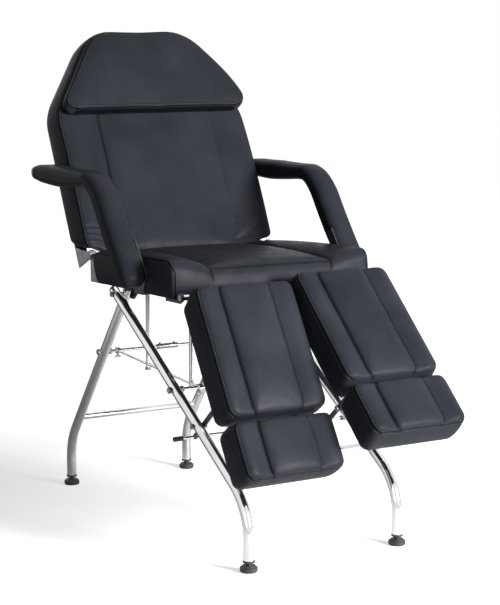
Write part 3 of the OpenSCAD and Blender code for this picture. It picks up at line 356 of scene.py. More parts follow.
# %% Lining cloth
lining = Finish("black_lining")
weft = lining.nodes.new("ShaderNodeTexWave")
weft.inputs["Scale"].default_value = 520.0
lining.links.new(lining.place, weft.inputs["Vector"])
nap = lining.noise(900.0, 3.0, 0.7)
weave = lining.maths("ADD", weft.outputs["Fac"], nap)
tone = lining.ramp(nap, [(0.3, (0.012, 0.012, 0.013)), (0.7, (0.030, 0.030, 0.032))])
lining.use(base_color=tone, roughness=0.9, normal=lining.bump(weave, 0.0002, 0.6))

# %% [markdown]
# The floor is plain and pale. To the camera it also glows, more so further out, so
# that it runs into the white background with no horizon, while the chair's shadow
# still shows close by.

# %% Floor finish
FLOOR_REACH_SHARE = 0.2

floor_finish = Finish("pale_floor")
grey = floor_finish.ramp(floor_finish.noise(3.0, 3.0), [(0.3, 0.86), (0.7, 0.89)])
floor_finish.use(base_color=grey, roughness=0.8)
ray = floor_finish.nodes.new("ShaderNodeLightPath")
glow = floor_finish.nodes.new("ShaderNodeEmission")
both = floor_finish.nodes.new("ShaderNodeAddShader")
away = floor_finish.nodes.new("ShaderNodeVectorMath")
away.operation = "LENGTH"
floor_finish.links.new(floor_finish.place, away.inputs[0])
reach = floor_finish.maths("MULTIPLY", away.outputs["Value"], FLOOR_REACH_SHARE)
lift = floor_finish.ramp(reach, [(0.2, 0.55), (0.7, 1.0)])
lit = floor_finish.maths("MULTIPLY", ray.outputs["Is Camera Ray"], lift)
floor_finish.links.new(lit, glow.inputs["Strength"])
floor_finish.links.new(floor_finish.shader.outputs[0], both.inputs[0])
floor_finish.links.new(glow.outputs[0], both.inputs[1])
floor_finish.links.new(both.outputs[0], floor_finish.nodes["Material Output"].inputs["Surface"])
floor_mesh.materials.append(floor_finish.material)

# %% [markdown]
# ## The frame's finishes
# The CAD nodes keep their shapes. Each one gets the finish of the slot that the
# model's record names for it.

# %% Give every rigid node its finish
finish_of_slot = {"chrome": chrome, "zinc": zinc, "black_paint": paint, "plastic": plastic,
                  "plywood": lining, "leather": leather}
for part in frame["record"]["subparts"]:
    obj = nodes[part["node"]]
    for material_slot in obj.material_slots:
        material_slot.material = finish_of_slot[part["material_slot"]].material
print("finished nodes:", len(nodes))

# %% [markdown]
# ## Padded forms
# A cushion of this chair is foam on a board. A top panel lies over it, side panels
# go round it, and the two are sewn together along the edge. A closed grid follows
# that making: columns across and rows along for the top panel, rings down the
# sides, and one more grid for the underside.

# %% Sizes shared by the padded forms, in metres
SIDE_DRAW = 0.003
right, left = -1, 1


def turned(points, degrees, origin):
    """Points turned about the X axis by an angle, then moved so that it runs through origin."""
    a = math.radians(degrees)
    x, y, z = points[:, 0], points[:, 1], points[:, 2]
    out = np.stack([x, y * math.cos(a) - z * math.sin(a), y * math.sin(a) + z * math.cos(a)], 1)
    return out + np.asarray(origin, float)


def roll(d, r):
    """Drop of a rounded edge: r minus the height of a quarter circle of radius r at distance d."""
    return r - np.sqrt(np.maximum(r * r - np.square(r - np.clip(d, 0.0, r)), 0.0))


def smooth(t):
    """0 to 1 with level ends: 3t squared minus 2t cubed."""
    t = np.clip(t, 0.0, 1.0)
    return t * t * (3.0 - 2.0 * t)


def hump(t):
    """1 at t = 0, falling to 0 at t = -1 and t = 1 without a kink: the square of 1 - t squared."""
    return np.square(np.clip(1.0 - t * t, 0.0, 1.0))


def spaced(stops, step):
    """Places from the first stop to the last, with every stop kept and no gap above step."""
    out = [stops[0]]
    for a, b in zip(stops[:-1], stops[1:]):
        n = max(1, int(math.ceil((b - a) / step - 1e-6)))
        out.extend(a + (b - a) * (k + 1) / n for k in range(n))
    return np.array(out)


# %% [markdown]
# One grid of points makes the face of a cushion. Rings of points run down from its
# rim, round the sides and into the underside, and a second grid closes that.

# %% The closed grid of a cushion
class Pad:
    """A closed cushion surface and its sewn lines, before it is turned into place."""

    def __init__(self, us, rows, half, top, base, rim, pocket, lean0=0.0, lean1=0.0, level0=0.0,
                 belly=0.003, rings=7):
        """Point (u, a, n) lies at x = u times (half width less inset), y = a with both ends
        drawn in by the inset and leaned by so much for each unit of depth below level0, z = n.
        The top grid takes n from top(u, a). The sides run down from it to base in rings, with a
        belly that swells as the power 0.8 of the sine of the share of their height. A flat rim
        and a pocket for the board close the underside."""
        nu, na = len(us), len(rows)
        full = rows[-1]
        U, A = np.meshgrid(us, rows)

        def spot(u, a, inset, n):
            lean = (level0 - n) * (lean0 * (1.0 - a / full) - lean1 * a / full)
            along = inset + a * (full - 2.0 * inset) / full + lean
            return np.stack([u * (half(a) - inset), along, n], -1)

        face = spot(U, A, SIDE_DRAW, top(U, A)).reshape(-1, 3)
        grid = np.arange(nu * na).reshape(na, nu)
        rim_ids = np.concatenate([grid[0, :], grid[1:, -1], grid[-1, -2::-1], grid[-2:0:-1, 0]])
        u_rim, a_rim = U.reshape(-1)[rim_ids], A.reshape(-1)[rim_ids]
        top_rim = top(u_rim, a_rim)
        count = len(rim_ids)
        shares = np.linspace(0.0, 1.0, rings + 1)[1:]
        swelling = belly + SIDE_DRAW
        levels = [(SIDE_DRAW - swelling * math.sin(math.pi * s) ** 0.8, s) for s in shares[:-1]]
        levels.append((SIDE_DRAW, 1.0))
        walls = [spot(u_rim, a_rim, inset, top_rim + (base - top_rim) * s) for inset, s in levels]
        walls.append(spot(u_rim, a_rim, rim, np.full(count, base)))
        walls.append(spot(u_rim, a_rim, rim, np.full(count, base + pocket)))
        under = spot(U, A, rim, np.full(U.shape, base + pocket)).reshape(-1, 3)
        under_inner = np.setdiff1d(np.arange(nu * na), rim_ids)
        self.verts = np.concatenate([face] + walls + [under[under_inner]])
        first = nu * na

        def ring(k):
            return rim_ids if k == 0 else first + (k - 1) * count + np.arange(count)

        corners = [grid[:-1, :-1], grid[:-1, 1:], grid[1:, 1:], grid[1:, :-1]]
        quads = [np.stack(corners, -1).reshape(-1, 4)]
        for k in range(len(walls)):
            a, b = ring(k), ring(k + 1)
            quads.append(np.stack([a, b, np.roll(b, -1), np.roll(a, -1)], 1))
        low = np.empty(nu * na, int)
        low[rim_ids] = ring(len(walls))
        low[under_inner] = first + len(walls) * count + np.arange(len(under_inner))
        low = low.reshape(na, nu)
        corners = [low[:-1, :-1], low[1:, :-1], low[1:, 1:], low[:-1, 1:]]
        quads.append(np.stack(corners, -1).reshape(-1, 4))
        self.quads = np.concatenate(quads).tolist()
        self.grid, self.us, self.rows = grid, us, rows
        self.edge = rim_ids
        self.rings = [ring(k) for k in range(len(walls) + 1)]
        self.channels = []
        self.held = np.zeros(len(self.verts))
        self.held[ring(rings)] = 1.0
        self.held[first + rings * count:] = 1.0
        self.across = nu

    def hold(self, ids, weight):
        """Sewn or glued points move little or not at all when the foam swells."""
        self.held[ids] = np.maximum(self.held[ids], weight)

    def upright(self, at):
        """The line down the wall from one point of the rim, counted from the first row's start."""
        return np.array([ring[at] for ring in self.rings[:-1]])

    def sew_along(self, share):
        """A channel each side: the column nearest to a share of the half width is sewn down."""
        for side in (-1, 1):
            column = int(np.argmin(np.abs(self.us - side * share)))
            self.hold(self.grid[:, column], 1.0)
            self.channels.append(self.grid[:, column])


print("padded form helper ready")

# %% [markdown]
# ## Foam pressure
# The grids are only the pattern. A short cloth simulation gives them the pressure of
# the foam: the sewn lines and the glued underside are held, the panels between them
# swell and pucker. A cap keeps every point within a few millimetres of its pattern,
# so that the cushions still fit the frame and one another.

# %% Swell a padded form with the cloth solver
FOAM_COVER = {"quality": 6, "mass": 0.25, "tension_stiffness": 18.0, "compression_stiffness": 18.0,
              "shear_stiffness": 8.0, "bending_stiffness": 0.6, "air_damping": 2.0}


def points_of(mesh):
    """The places of a mesh's points, one row each."""
    flat = np.empty(len(mesh.vertices) * 3)
    mesh.vertices.foreach_get("co", flat)
    return flat.reshape(-1, 3)


def mesh_object(name, verts, faces, finish):
    """A new mesh object at the origin, smooth shaded. Its faces are a list of point numbers."""
    mesh = bpy.data.meshes.new(name)
    mesh.from_pydata(verts.tolist(), [], faces)
    mesh.polygons.foreach_set("use_smooth", np.ones(len(faces), bool))
    mesh.materials.append(finish.material)
    mesh.update()
    obj = bpy.data.objects.new(name, mesh)
    scene.collection.objects.link(obj)
    return obj


def swell(obj, held, pressure, cap, frames=20):
    """Runs the cloth solver on obj with its held points pinned, then keeps its result. A shift d
    is capped softly, to the cap times the hyperbolic tangent of d over the cap."""
    mesh = obj.data
    start = points_of(mesh)
    group = obj.vertex_groups.new(name="held")
    for weight in np.unique(np.round(held, 2)):
        ids = np.nonzero(np.round(held, 2) == weight)[0].tolist()
        group.add(ids, float(weight), "REPLACE")
    cloth = obj.modifiers.new("foam", "CLOTH")
    setting = cloth.settings
    for key, value in FOAM_COVER.items():
        setattr(setting, key, value)
    setting.use_pressure = True
    setting.uniform_pressure_force = pressure
    setting.vertex_group_mass = "held"
    setting.effector_weights.gravity = 0.0
    cloth.collision_settings.use_collision = False
    cloth.point_cache.frame_start = 1
    cloth.point_cache.frame_end = frames
    for number in range(1, frames + 1):
        scene.frame_set(number)
    shape = obj.evaluated_get(bpy.context.evaluated_depsgraph_get()).data
    shift = points_of(shape) - start
    length = np.linalg.norm(shift, axis=1, keepdims=True)
    shift *= np.tanh(length / cap) * cap / np.maximum(length, 1e-9)
    obj.modifiers.remove(cloth)
    obj.vertex_groups.remove(group)
    mesh.vertices.foreach_set("co", (start + shift).reshape(-1))
    mesh.update()
    scene.frame_set(1)
    print(obj.name, "swelled by up to", round(float(np.abs(shift).max()) * 1000, 1), "mm")


def finish_pad(obj, body, cad_nodes):
    """Smooths a padded piece by one subdivision, ties it to its body and hides the CAD nodes that
    it replaces.
    """
    smooth_mod = obj.modifiers.new("smooth", "SUBSURF")
    smooth_mod.levels = smooth_mod.render_levels = 1
    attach(obj, body)
    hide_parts(*cad_nodes)


# %% [markdown]
# ## Seams and thread
# Where two panels meet, the real cover is sewn twice: the seam lies in a narrow
# valley, with a row of thread on each side of it. The valley is a matter of the
# finish, a bump with painted shade, which needs each point's distance from the seam.
# The thread is real: one small bead a stitch, laid on the finished surface in its direction.

# %% Distances from seams and shade lines
def line_distances(obj, seams, shade_lines=(), reach=0.03):
    """Stores each point's distance from the nearest seam line and the nearest shade line, which
    are lists of point numbers: the distance from a point to a segment is that to its foot,
    clipped to the ends. Beyond reach it stays at reach. The finish paints shade along both."""
    mesh = obj.data
    points = points_of(mesh)
    for name, lines in (("seam_distance", seams), ("shade_line_distance", shade_lines)):
        nearest = np.full(len(points), reach)
        for line in lines:
            for start, end in zip(points[line[:-1]], points[line[1:]]):
                along = end - start
                length2 = max(float(along @ along), 1e-12)
                share = np.clip((points - start) @ along / length2, 0.0, 1.0)
                gap = np.linalg.norm(points - start - share[:, None] * along, axis=1)
                nearest = np.minimum(nearest, gap)
        layer = mesh.attributes.new(name, "FLOAT", "POINT")
        layer.data.foreach_set("value", nearest.astype(np.float32))


# %% [markdown]
# A stitch is as long as the gap between two holes, less the part that dips into
# them. A row lies beside each seam, a little under 7 mm from it.

# %% Rows of thread
STITCH_PITCH, STITCH_L, STITCH_R, STITCH_ASIDE = 0.0062, 0.0048, 0.00055, 0.00675
STITCH_SIDES, STITCH_LIFT = 5, 0.2
STITCH_RINGS = ((-0.5, 0.35), (-0.3, 1.0), (0.3, 1.0), (0.5, 0.35))


def stitch_rows(name, obj, body, lines, asides=(-STITCH_ASIDE, STITCH_ASIDE)):
    """Beads of thread beside seam lines. Each line is cut into equal pitches. At each, the bead
    stands aside by so much across the line, drops to the nearest place on the finished
    surface, and lies along the line: a tube of five sides, narrowed at both ends. A ring of it
    is a share of its length and a share of its radius."""
    tree = BVHTree.FromObject(obj, bpy.context.evaluated_depsgraph_get())
    points = points_of(obj.data)
    spots, heads, ups = [], [], []
    for line in lines:
        path = points[line]
        run = np.concatenate([[0.0], np.cumsum(np.linalg.norm(np.diff(path, axis=0), axis=1))])
        count = max(2, int(run[-1] / STITCH_PITCH))
        at = (np.arange(count) + 0.5) * run[-1] / count
        centre = np.stack([np.interp(at, run, path[:, k]) for k in range(3)], 1)
        ahead = np.gradient(centre, axis=0)
        ahead /= np.linalg.norm(ahead, axis=1, keepdims=True)
        for c, t in zip(centre, ahead):
            found, normal = tree.find_nearest(Vector(c))[:2]
            if found is None:
                continue
            across = np.cross(np.array(normal), t)
            for aside in asides:
                found, up = tree.find_nearest(Vector(c + across * aside))[:2]
                spots.append(found)
                heads.append(t)
                ups.append(up)
    spots, heads, ups = (np.array(v, float) for v in (spots, heads, ups))
    ups -= heads * (ups * heads).sum(1, keepdims=True)
    ups /= np.linalg.norm(ups, axis=1, keepdims=True)
    wides = np.cross(ups, heads)
    turn = np.arange(STITCH_SIDES) * 2.0 * math.pi / STITCH_SIDES
    bead = np.array([(x * STITCH_L, width * STITCH_R * math.cos(k), width * STITCH_R * math.sin(k))
                     for x, width in STITCH_RINGS for k in turn])
    verts = (spots[:, None] + bead[None, :, :1] * heads[:, None]
             + bead[None, :, 1:2] * wides[:, None]
             + (bead[None, :, 2:] + STITCH_LIFT * STITCH_R) * ups[:, None])
    ring = np.arange(STITCH_SIDES)
    following = (ring + 1) % STITCH_SIDES
    belt = np.stack([ring, following, following + STITCH_SIDES, ring + STITCH_SIDES], 1)
    sides = np.concatenate([belt + STITCH_SIDES * k for k in range(len(STITCH_RINGS) - 1)])
    ends = np.stack([ring[::-1], ring + len(bead) - STITCH_SIDES])
    firsts = len(bead) * np.arange(len(spots))[:, None, None]
    faces = [part for group in (sides, ends)
             for part in (group[None] + firsts).reshape(-1, group.shape[1]).tolist()]
    beads = mesh_object(name, verts.reshape(-1, 3), faces, thread)
    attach(beads, body)
    print(name, len(spots), "stitches")


# %% [markdown]
# ## Where the columns and rows run
# A crease is sharp only where the grid is fine, so columns crowd beside each sewn
# channel and rows crowd towards the rounded ends. Between them a step of about a
# centimetre is enough, because the surface is smoothed once at the end.

# %% Columns, rows and small relief
def columns(half, seam, step=0.011):
    """Columns as shares of the half width, symmetric, crowded at the seam and at the edge."""
    stops = [0.0, seam - 0.012, seam - 0.005, seam - 0.0018, seam, seam + 0.0018, seam + 0.005,
             seam + 0.012, half - 0.014, half - 0.006, half - 0.002, half]
    one = spaced(stops, step)
    return np.concatenate([-one[:0:-1], one]) / half


def rows_along(length, step=0.011, more=()):
    """Rows along a pad, crowded at both rounded ends and where more rows are asked for."""
    stops = {0.0, 0.002, 0.006, 0.014, 0.030, length - 0.030, length - 0.014,
             length - 0.006, length - 0.002, length} | set(more)
    return spaced(sorted(stops), step)


def crease(distance, width):
    """1 on a sewn line, falling off on both sides as the bell curve of distance over width."""
    return np.exp(-np.square(distance / width))


def rise(distance, width):
    """A panel's edge swelling away from its seam: 1 minus e to the minus distance over width."""
    return 1.0 - np.exp(-np.maximum(distance, 0.0) / width)


def pucker(distance, along, reach=0.009, deep=0.0007):
    """Small gathers where thread draws leather in: a wave along the seam, 17 mm long with a
    slow drift, that dies away within reach of the seam."""
    wave = np.cos(2.0 * math.pi * along / 0.017 + 1.9 * np.sin(2.0 * math.pi * along / 0.113))
    return deep * wave * np.exp(-np.abs(distance) / reach)


# %% [markdown]
# ## Seat
# The seat is dished. At its front the middle panel lies nearly 30 mm lower than the
# side seams, and towards the rear it climbs to their level. Two sewn channels run
# from front to back where the bolsters begin. The top panel wraps over the nose, with
# no seam there, so the side seams run down the two front corners. The rear side slopes
# forward on its way down, by 36 mm in 101 mm, below the foot of the backrest.

# %% Seat cushion
SEAT_FRONT_Y, SEAT_Z = -0.20478, 0.660
SEAT_L, SEAT_HALF, SEAT_SEAM, NOSE_FOLD = 0.462, 0.309, 0.190, 0.017
SEAT_REAR_TOP, SEAT_REAR_LEAN = 0.082, 36.0 / 101.0
NOSE_ROWS = (0.010, 0.0135, 0.017, 0.0205, 0.024)


def seat_half(a):
    """Straight sides with rounded corners, smaller ones at the nose."""
    return SEAT_HALF - roll(a, 0.010) - roll(SEAT_L - a, 0.016)


def seat_top(u, a):
    """Side seams that fall to the rear as the power 2.3, less the rolled front and back edges.
    The dish below them fades to the rear as the power 1.5. From each channel a bolster swells,
    and climbs to the side seam as the power 0.75. A fold crosses the nose, and below it the
    leather is slightly gathered."""
    x = np.abs(u) * SEAT_HALF
    share = np.clip(a / SEAT_L, 0.0, 1.0)
    level = 0.1035 - 0.021 * share ** 2.3 - roll(a, 0.030) - roll(SEAT_L - a, 0.010)
    dish = 0.003 + 0.026 * (1.0 - share) ** 1.5
    t = np.clip((x - SEAT_SEAM) / (SEAT_HALF - SEAT_SEAM), 0.0, 1.0)
    body = smooth(a / 0.05)
    inner = 0.004 * rise(SEAT_SEAM - x, 0.010)
    outer = 0.007 * rise(x - SEAT_SEAM, 0.012)
    swollen = np.where(x < SEAT_SEAM, inner, outer) * (0.25 + 0.75 * body) * (1.0 - t ** 3)
    ripple = np.sin(2.0 * math.pi * (x / 0.047 + 0.35 * np.sin(x / 0.031)))
    gather = 0.0011 * ripple * hump((a - 0.009) / 0.012)
    nose = gather + 0.0034 * crease(a - NOSE_FOLD, 0.005) * smooth((SEAT_SEAM + 0.01 - x) / 0.03)
    edge = SEAT_HALF - x
    shoulder = 0.004 * np.square(1.0 - np.clip(edge / 0.012, 0.0, 1.0))
    return level - dish * (1.0 - t ** 0.75) + swollen - 0.003 \
        - nose - shoulder + pucker(x - SEAT_SEAM, a) * body


seat_pad = Pad(columns(SEAT_HALF, SEAT_SEAM), rows_along(SEAT_L, more=NOSE_ROWS),
               seat_half, seat_top, 0.0, 0.008, 0.015,
               lean1=SEAT_REAR_LEAN, level0=SEAT_REAR_TOP, belly=0.0)
seat_pad.verts += np.array([0.0, SEAT_FRONT_Y, SEAT_Z])
seat_pad.sew_along(SEAT_SEAM / SEAT_HALF)
for ids in seat_pad.rings:
    seat_pad.hold(ids, 1.0)
seat_cushion = mesh_object("seat_upholstery", seat_pad.verts, seat_pad.quads, leather)
swell(seat_cushion, seat_pad.held, 3.5, 0.005)
seat_seams = [seat_pad.grid[:, 0], seat_pad.grid[:, -1], seat_pad.grid[-1, :],
              seat_pad.upright(0), seat_pad.upright(seat_pad.across - 1)]
fold_row = np.argmin(np.abs(seat_pad.rows - NOSE_FOLD))
nose_fold = seat_pad.grid[fold_row, 12:-12]
# Painted shade along both channels and the nose fold, and on the seams.
line_distances(seat_cushion, seat_seams, seat_pad.channels + [nose_fold])
finish_pad(seat_cushion, "base", ["seat_cushion"])
stitch_rows("seat_stitches", seat_cushion, "base", seat_seams)
print("seat points:", len(seat_pad.verts))

# %% [markdown]
# ## Backrest
# The backrest narrows at its shoulders. Its lumbar half is channelled like the seat
# and slightly dished at its foot, where the leather is gathered. The foot's middle
# hangs lower than its corners, so that no gap shows above the seat. The pillow lies
# over the plain upper half.

# %% Backrest cushion
BACK_TURN, BACK_PIVOT, BACK_START = 65.4, (0.0, 0.27722, 0.733), 0.014
BACK_L, BACK_HALF, BACK_SEAM = 0.672, 0.309, 0.187
BACK_FLAT, BACK_SHOULDER, BACK_FALL = 0.56 * BACK_L, 0.418, 0.622
BACK_FACE, BACK_BOTTOM, BACK_BOW, BACK_SWELL = 0.0025, -0.0815, 0.004, 0.0085
FOOT_HALF, FOOT_BLEND, FOOT_REACH, FOOT_DROP = 0.276, 0.05, 0.10, 0.023
GATHER_ROWS = [0.0035 * k for k in range(5, 26)]


def back_half(a):
    """Straight sides, then a head that narrows by a fixed share of the way up, with the shoulder
    between them rounded by a parabola, less the rounded corners."""
    d = a - BACK_SHOULDER
    blend = 0.045
    shoulder = np.where(np.abs(d) < blend, np.square(d + blend) / (4.0 * blend), np.maximum(d, 0.0))
    return BACK_HALF - BACK_FALL * shoulder - roll(a, 0.022) - roll(BACK_L - a, 0.062)


def back_seam(a):
    """The side seam's height: a slight sine bulge, crowded to the foot by the power 0.62, then a
    straight fall to the head."""
    def bulge(share):
        return BACK_FACE + BACK_BOW * np.sin(math.pi * share ** 0.62)
    end = float(bulge(np.array(BACK_FLAT / BACK_L)))
    fall = end + (BACK_FACE - end) * (a - BACK_FLAT) / (BACK_L - BACK_FLAT)
    return np.where(a < BACK_FLAT, bulge(np.clip(a / BACK_L, 0.0, 1.0)), fall)


def gathers(x, a):
    """Wrinkles low on the sitter's right bolster: three waves across it that grow towards the
    side seam, and a pull from the other channel's foot to its corner."""
    low = hump((a - 0.045) / 0.042) * smooth((-x - 0.205) / 0.05)
    waves = 0.0020 * low * np.sin(2.0 * math.pi * (a + 0.03 * (x + 0.25)) / 0.017)
    line = a - (0.020 + 0.36 * (x - 0.190))
    pull = -0.0035 * crease(line, 0.007) * smooth((x - 0.185) / 0.02) * smooth((0.292 - x) / 0.03)
    return waves + pull


def back_top(u, a):
    """The side seam's height, plus the swelling of the lumbar panels, which fades out by the
    fourth power towards the pillow, less a dish between the side seams that fades upwards. At
    the channels the swelling sinks to nothing on the sitter's right and by half on the left."""
    half = np.maximum(back_half(a), 0.05)
    x = np.abs(u) * half
    seam_x = BACK_SEAM * half / BACK_HALF
    fade = np.maximum(0.0, 1.0 - (a / BACK_FLAT) ** 4)
    inner = BACK_SWELL * rise(seam_x - x, 0.005)
    outer = BACK_SWELL * rise(x - seam_x, 0.020)
    sewn = np.where(u < 0.0, 1.0, 0.5) * crease(x - seam_x, 0.020)
    sunk = sewn * (np.where(x < seam_x, inner, outer) - BACK_SWELL)
    t = np.clip((x - seam_x) / (half - seam_x), 0.0, 1.0)
    dish = 0.006 * smooth(1.0 - a / 0.34) * (1.0 - smooth(t))
    edge = half - x
    shoulder = 0.006 * np.square(1.0 - np.clip(edge / 0.016, 0.0, 1.0))
    return back_seam(a) - roll(BACK_L - a, 0.010) - 0.5 * roll(a, 0.008) - dish \
        + fade * (BACK_SWELL + sunk + pucker(x - seam_x, a)) - shoulder + gathers(u * half, a)


back_pad = Pad(columns(BACK_HALF, BACK_SEAM), rows_along(BACK_L, more=GATHER_ROWS),
               back_half, back_top, BACK_BOTTOM, 0.008, 0.012,
               lean0=1.0 / math.tan(math.radians(BACK_TURN)), level0=BACK_FACE, belly=0.001)
middle = smooth((FOOT_HALF - np.abs(back_pad.verts[:, 0])) / FOOT_BLEND)
foot = middle * np.clip(1.0 - back_pad.verts[:, 1] / FOOT_REACH, 0.0, 1.0)
back_pad.verts[:, 1] += BACK_START - FOOT_DROP * foot
back_pad.verts = turned(back_pad.verts, BACK_TURN, BACK_PIVOT)
back_pad.sew_along(BACK_SEAM / BACK_HALF)
back_pad.hold(back_pad.edge, 1.0)
back_cushion = mesh_object("back_upholstery", back_pad.verts, back_pad.quads, leather)
swell(back_cushion, back_pad.held, 3.5, 0.004)
back_seams = [np.concatenate([back_pad.grid[:, 0], back_pad.grid[-1, 1:],
                              back_pad.grid[-2::-1, -1]])]
# Painted shade along the channel on the sitter's right only, where the raised centre panel shades
# the bolster, and on the seams.
line_distances(back_cushion, back_seams, back_pad.channels[:1])
finish_pad(back_cushion, "backrest", ["back_cushion"])
stitch_rows("back_stitches", back_cushion, "backrest", back_seams)

# %% [markdown]
# ## Head pillow
# A separate pad lies over the upper backrest, less than a degree out of line, as a
# loose pad does. It is a trapezium, thick at its foot and thin at its top. Its left
# side is fuller: it goes outwards by up to 30 mm at the top and by a bulge of 26 mm
# half way, and reaches 14 mm higher. A band runs round the pad, with a seam on each
# edge of the band. At the foot the band faces down, and painted shade darkens it.

# %% Head pillow
PILLOW_L, PILLOW_AT, PILLOW_HALF, PILLOW_TOP = 0.254, 0.397, 0.313, 0.147
PILLOW_CORNER, PILLOW_COLUMN, PILLOW_LIFT = 0.046, 0.15, 0.0003
LEFT_OUT, LEFT_BULGE, LEFT_UP = 0.030, 0.026, 0.014
ASKEW = math.radians(0.8)


def pillow_half(a):
    """A trapezium's slanted side, less the rounded corners, a little more at the foot."""
    side = PILLOW_HALF - (PILLOW_HALF - PILLOW_TOP) * a / PILLOW_L
    return side - 1.15 * roll(a, PILLOW_CORNER) - roll(PILLOW_L - a, PILLOW_CORNER)


def pillow_top(u, a):
    """Height falling from 40 to 20 mm, less a fifth of the foot's rounding, plus a crown that is
    a sine along and flat across up to the fourth power, less a small pinch in the foot's
    middle."""
    half = np.maximum(pillow_half(a), 0.05)
    edge = half * (1.0 - np.abs(u))
    crown = 0.005 * (1.0 - u ** 4) * np.sin(math.pi * a / PILLOW_L) ** 0.7
    shoulder = 0.004 * np.square(1.0 - np.clip(edge / 0.014, 0.0, 1.0))
    pinch = 0.003 * hump(u * half / 0.030) * hump(a / 0.020)
    return 0.040 - 0.020 * a / PILLOW_L - 0.2 * roll(a, 0.012) + crown - shoulder - pinch


pillow_pad = Pad(columns(PILLOW_HALF, PILLOW_COLUMN), rows_along(PILLOW_L),
                 pillow_half, pillow_top, 0.0, 0.004, 0.004, lean0=-0.15, belly=0.002)
share = np.clip(pillow_pad.verts[:, 1] / PILLOW_L, 0.0, 1.0)
left_share = np.clip(pillow_pad.verts[:, 0] / PILLOW_HALF, 0.0, 1.0)
pillow_pad.verts[:, 0] += left_share * (LEFT_OUT * share + LEFT_BULGE * np.sin(math.pi * share))
x = pillow_pad.verts[:, 0] + PILLOW_HALF
y = pillow_pad.verts[:, 1] + LEFT_UP * left_share * share
pillow_pad.verts[:, 0] = x * math.cos(ASKEW) - y * math.sin(ASKEW) - PILLOW_HALF
pillow_pad.verts[:, 1] = y * math.cos(ASKEW) + x * math.sin(ASKEW)
seam_fall = float(back_seam(np.array(BACK_FLAT))) - BACK_FACE
pillow_turn = -math.degrees(math.atan2(seam_fall, BACK_L - BACK_FLAT))
pillow_z = float(back_seam(np.array(PILLOW_AT))) + PILLOW_LIFT
pillow_pad.verts = turned(pillow_pad.verts, pillow_turn, (0.0, BACK_START + PILLOW_AT, pillow_z))
pillow_pad.verts = turned(pillow_pad.verts, BACK_TURN, BACK_PIVOT)
pillow_pad.hold(pillow_pad.edge, 1.0)
head_pillow = mesh_object("pillow_upholstery", pillow_pad.verts, pillow_pad.quads, leather)
swell(head_pillow, pillow_pad.held, 4.0, 0.006)
pillow_seams = [np.append(ring, ring[0]) for ring in (pillow_pad.rings[0], pillow_pad.rings[5])]
# Painted shade on the downward band at the foot, between its two seams.
shaded_foot_band = [ring[:pillow_pad.across] for ring in pillow_pad.rings[1:5]]
line_distances(head_pillow, pillow_seams, shaded_foot_band)
finish_pad(head_pillow, "backrest", ["head_pillow"])
stitch_rows("pillow_stitches", head_pillow, "backrest", pillow_seams[:1], asides=(STITCH_ASIDE,))

# %% [markdown]
# ## Leg rests
# Each leg rest has a calf pad and a heel pad of the same section: a flat centre
# panel between two channels, and round bolsters along the sides. At its upper end the
# face of a calf pad reaches 15 mm further than its underside, until it is above the
# axle.

# %% Calf and heel pads
AXLE_Y, AXLE_Z, LEG_X = -0.22778, 0.667, 0.153
LEG_HALF, LEG_SEAM = 0.1455, 0.0755
CALF_START, CALF_L, HEEL_START, HEEL_L = 0.014, 0.337, 0.362, 0.153
OVERHANG, OVERHANG_REACH, OVERHANG_FOOT, OVERHANG_BLEND = 0.015, 0.08, 0.012, 0.035
PANEL_Z, RIDGE_AT = 0.073, 0.72
pitch = {"right": 59.8, "left": 44.4}


def leg_pad(length):
    """One leg rest pad, flat on its board."""
    def half(a):
        return LEG_HALF - roll(a, 0.020) - roll(length - a, 0.020)

    def top(u, a):
        """The centre panel steps up from the channel seam within 4 mm and is slightly crowned. A
        bolster climbs from the seam in a long smooth slope to a round ridge near the side."""
        width = half(a)
        x = np.abs(u) * width
        seam_x = LEG_SEAM * width / LEG_HALF
        t = (x - seam_x) / np.maximum(width - seam_x, 1e-4)
        crown = 0.002 * (1.0 - np.square(x / seam_x))
        centre = PANEL_Z + 0.010 * rise(seam_x - x, 0.004) + crown
        past = (t - RIDGE_AT) / 0.28
        ridge = PANEL_Z + 0.009 * smooth(t / 0.62) + 0.002 * hump(past) \
            - 0.007 * np.square(np.clip(past, 0.0, 1.0))
        over = 1.0 - np.abs(2.0 * a / length - 1.0) ** 8
        face = np.where(x < seam_x, centre, ridge) + pucker(x - seam_x, a, 0.007, 0.0006)
        height = 0.075 + (face - 0.075) * (0.35 + 0.65 * over)
        return height - roll(a, 0.009) - roll(length - a, 0.009)

    pad = Pad(columns(LEG_HALF, LEG_SEAM, 0.008), rows_along(length, 0.009), half, top,
              -0.008, 0.007, 0.012, belly=0.001)
    pad.sew_along(LEG_SEAM / LEG_HALF)
    pad.hold(pad.edge, 1.0)
    return pad


for side, x in (("right", right), ("left", left)):
    for name, start, length in (("calf", CALF_START, CALF_L), ("heel", HEEL_START, HEEL_L)):
        pad = leg_pad(length)
        if name == "calf":
            near_axle = 1.0 - np.clip(pad.verts[:, 1] / OVERHANG_REACH, 0.0, 1.0)
            height = smooth((pad.verts[:, 2] - OVERHANG_FOOT) / OVERHANG_BLEND)
            pad.verts[:, 1] -= OVERHANG * near_axle * height
        pad.verts[:, :2] *= -1.0
        pad.verts[:, 1] -= start
        pad.verts = turned(pad.verts, pitch[side], (x * LEG_X, AXLE_Y, AXLE_Z))
        body = ("leg_rest_" if name == "calf" else "heel_rest_") + side
        obj = mesh_object(name + "_upholstery_" + side, pad.verts, pad.quads, leather)
        swell(obj, pad.held, 3.5, 0.004)
        seams = [pad.grid[:, 0], pad.grid[:, -1]] + ([pad.grid[-1, :]] if name == "heel" else [])
        # Painted shade along both channels, and on the seams.
        line_distances(obj, seams, pad.channels)
        finish_pad(obj, body, [name + "_cushion_" + side])
        stitch_rows(name + "_stitches_" + side, obj, body, seams)
print("leg pads done, at", pitch, "degrees")

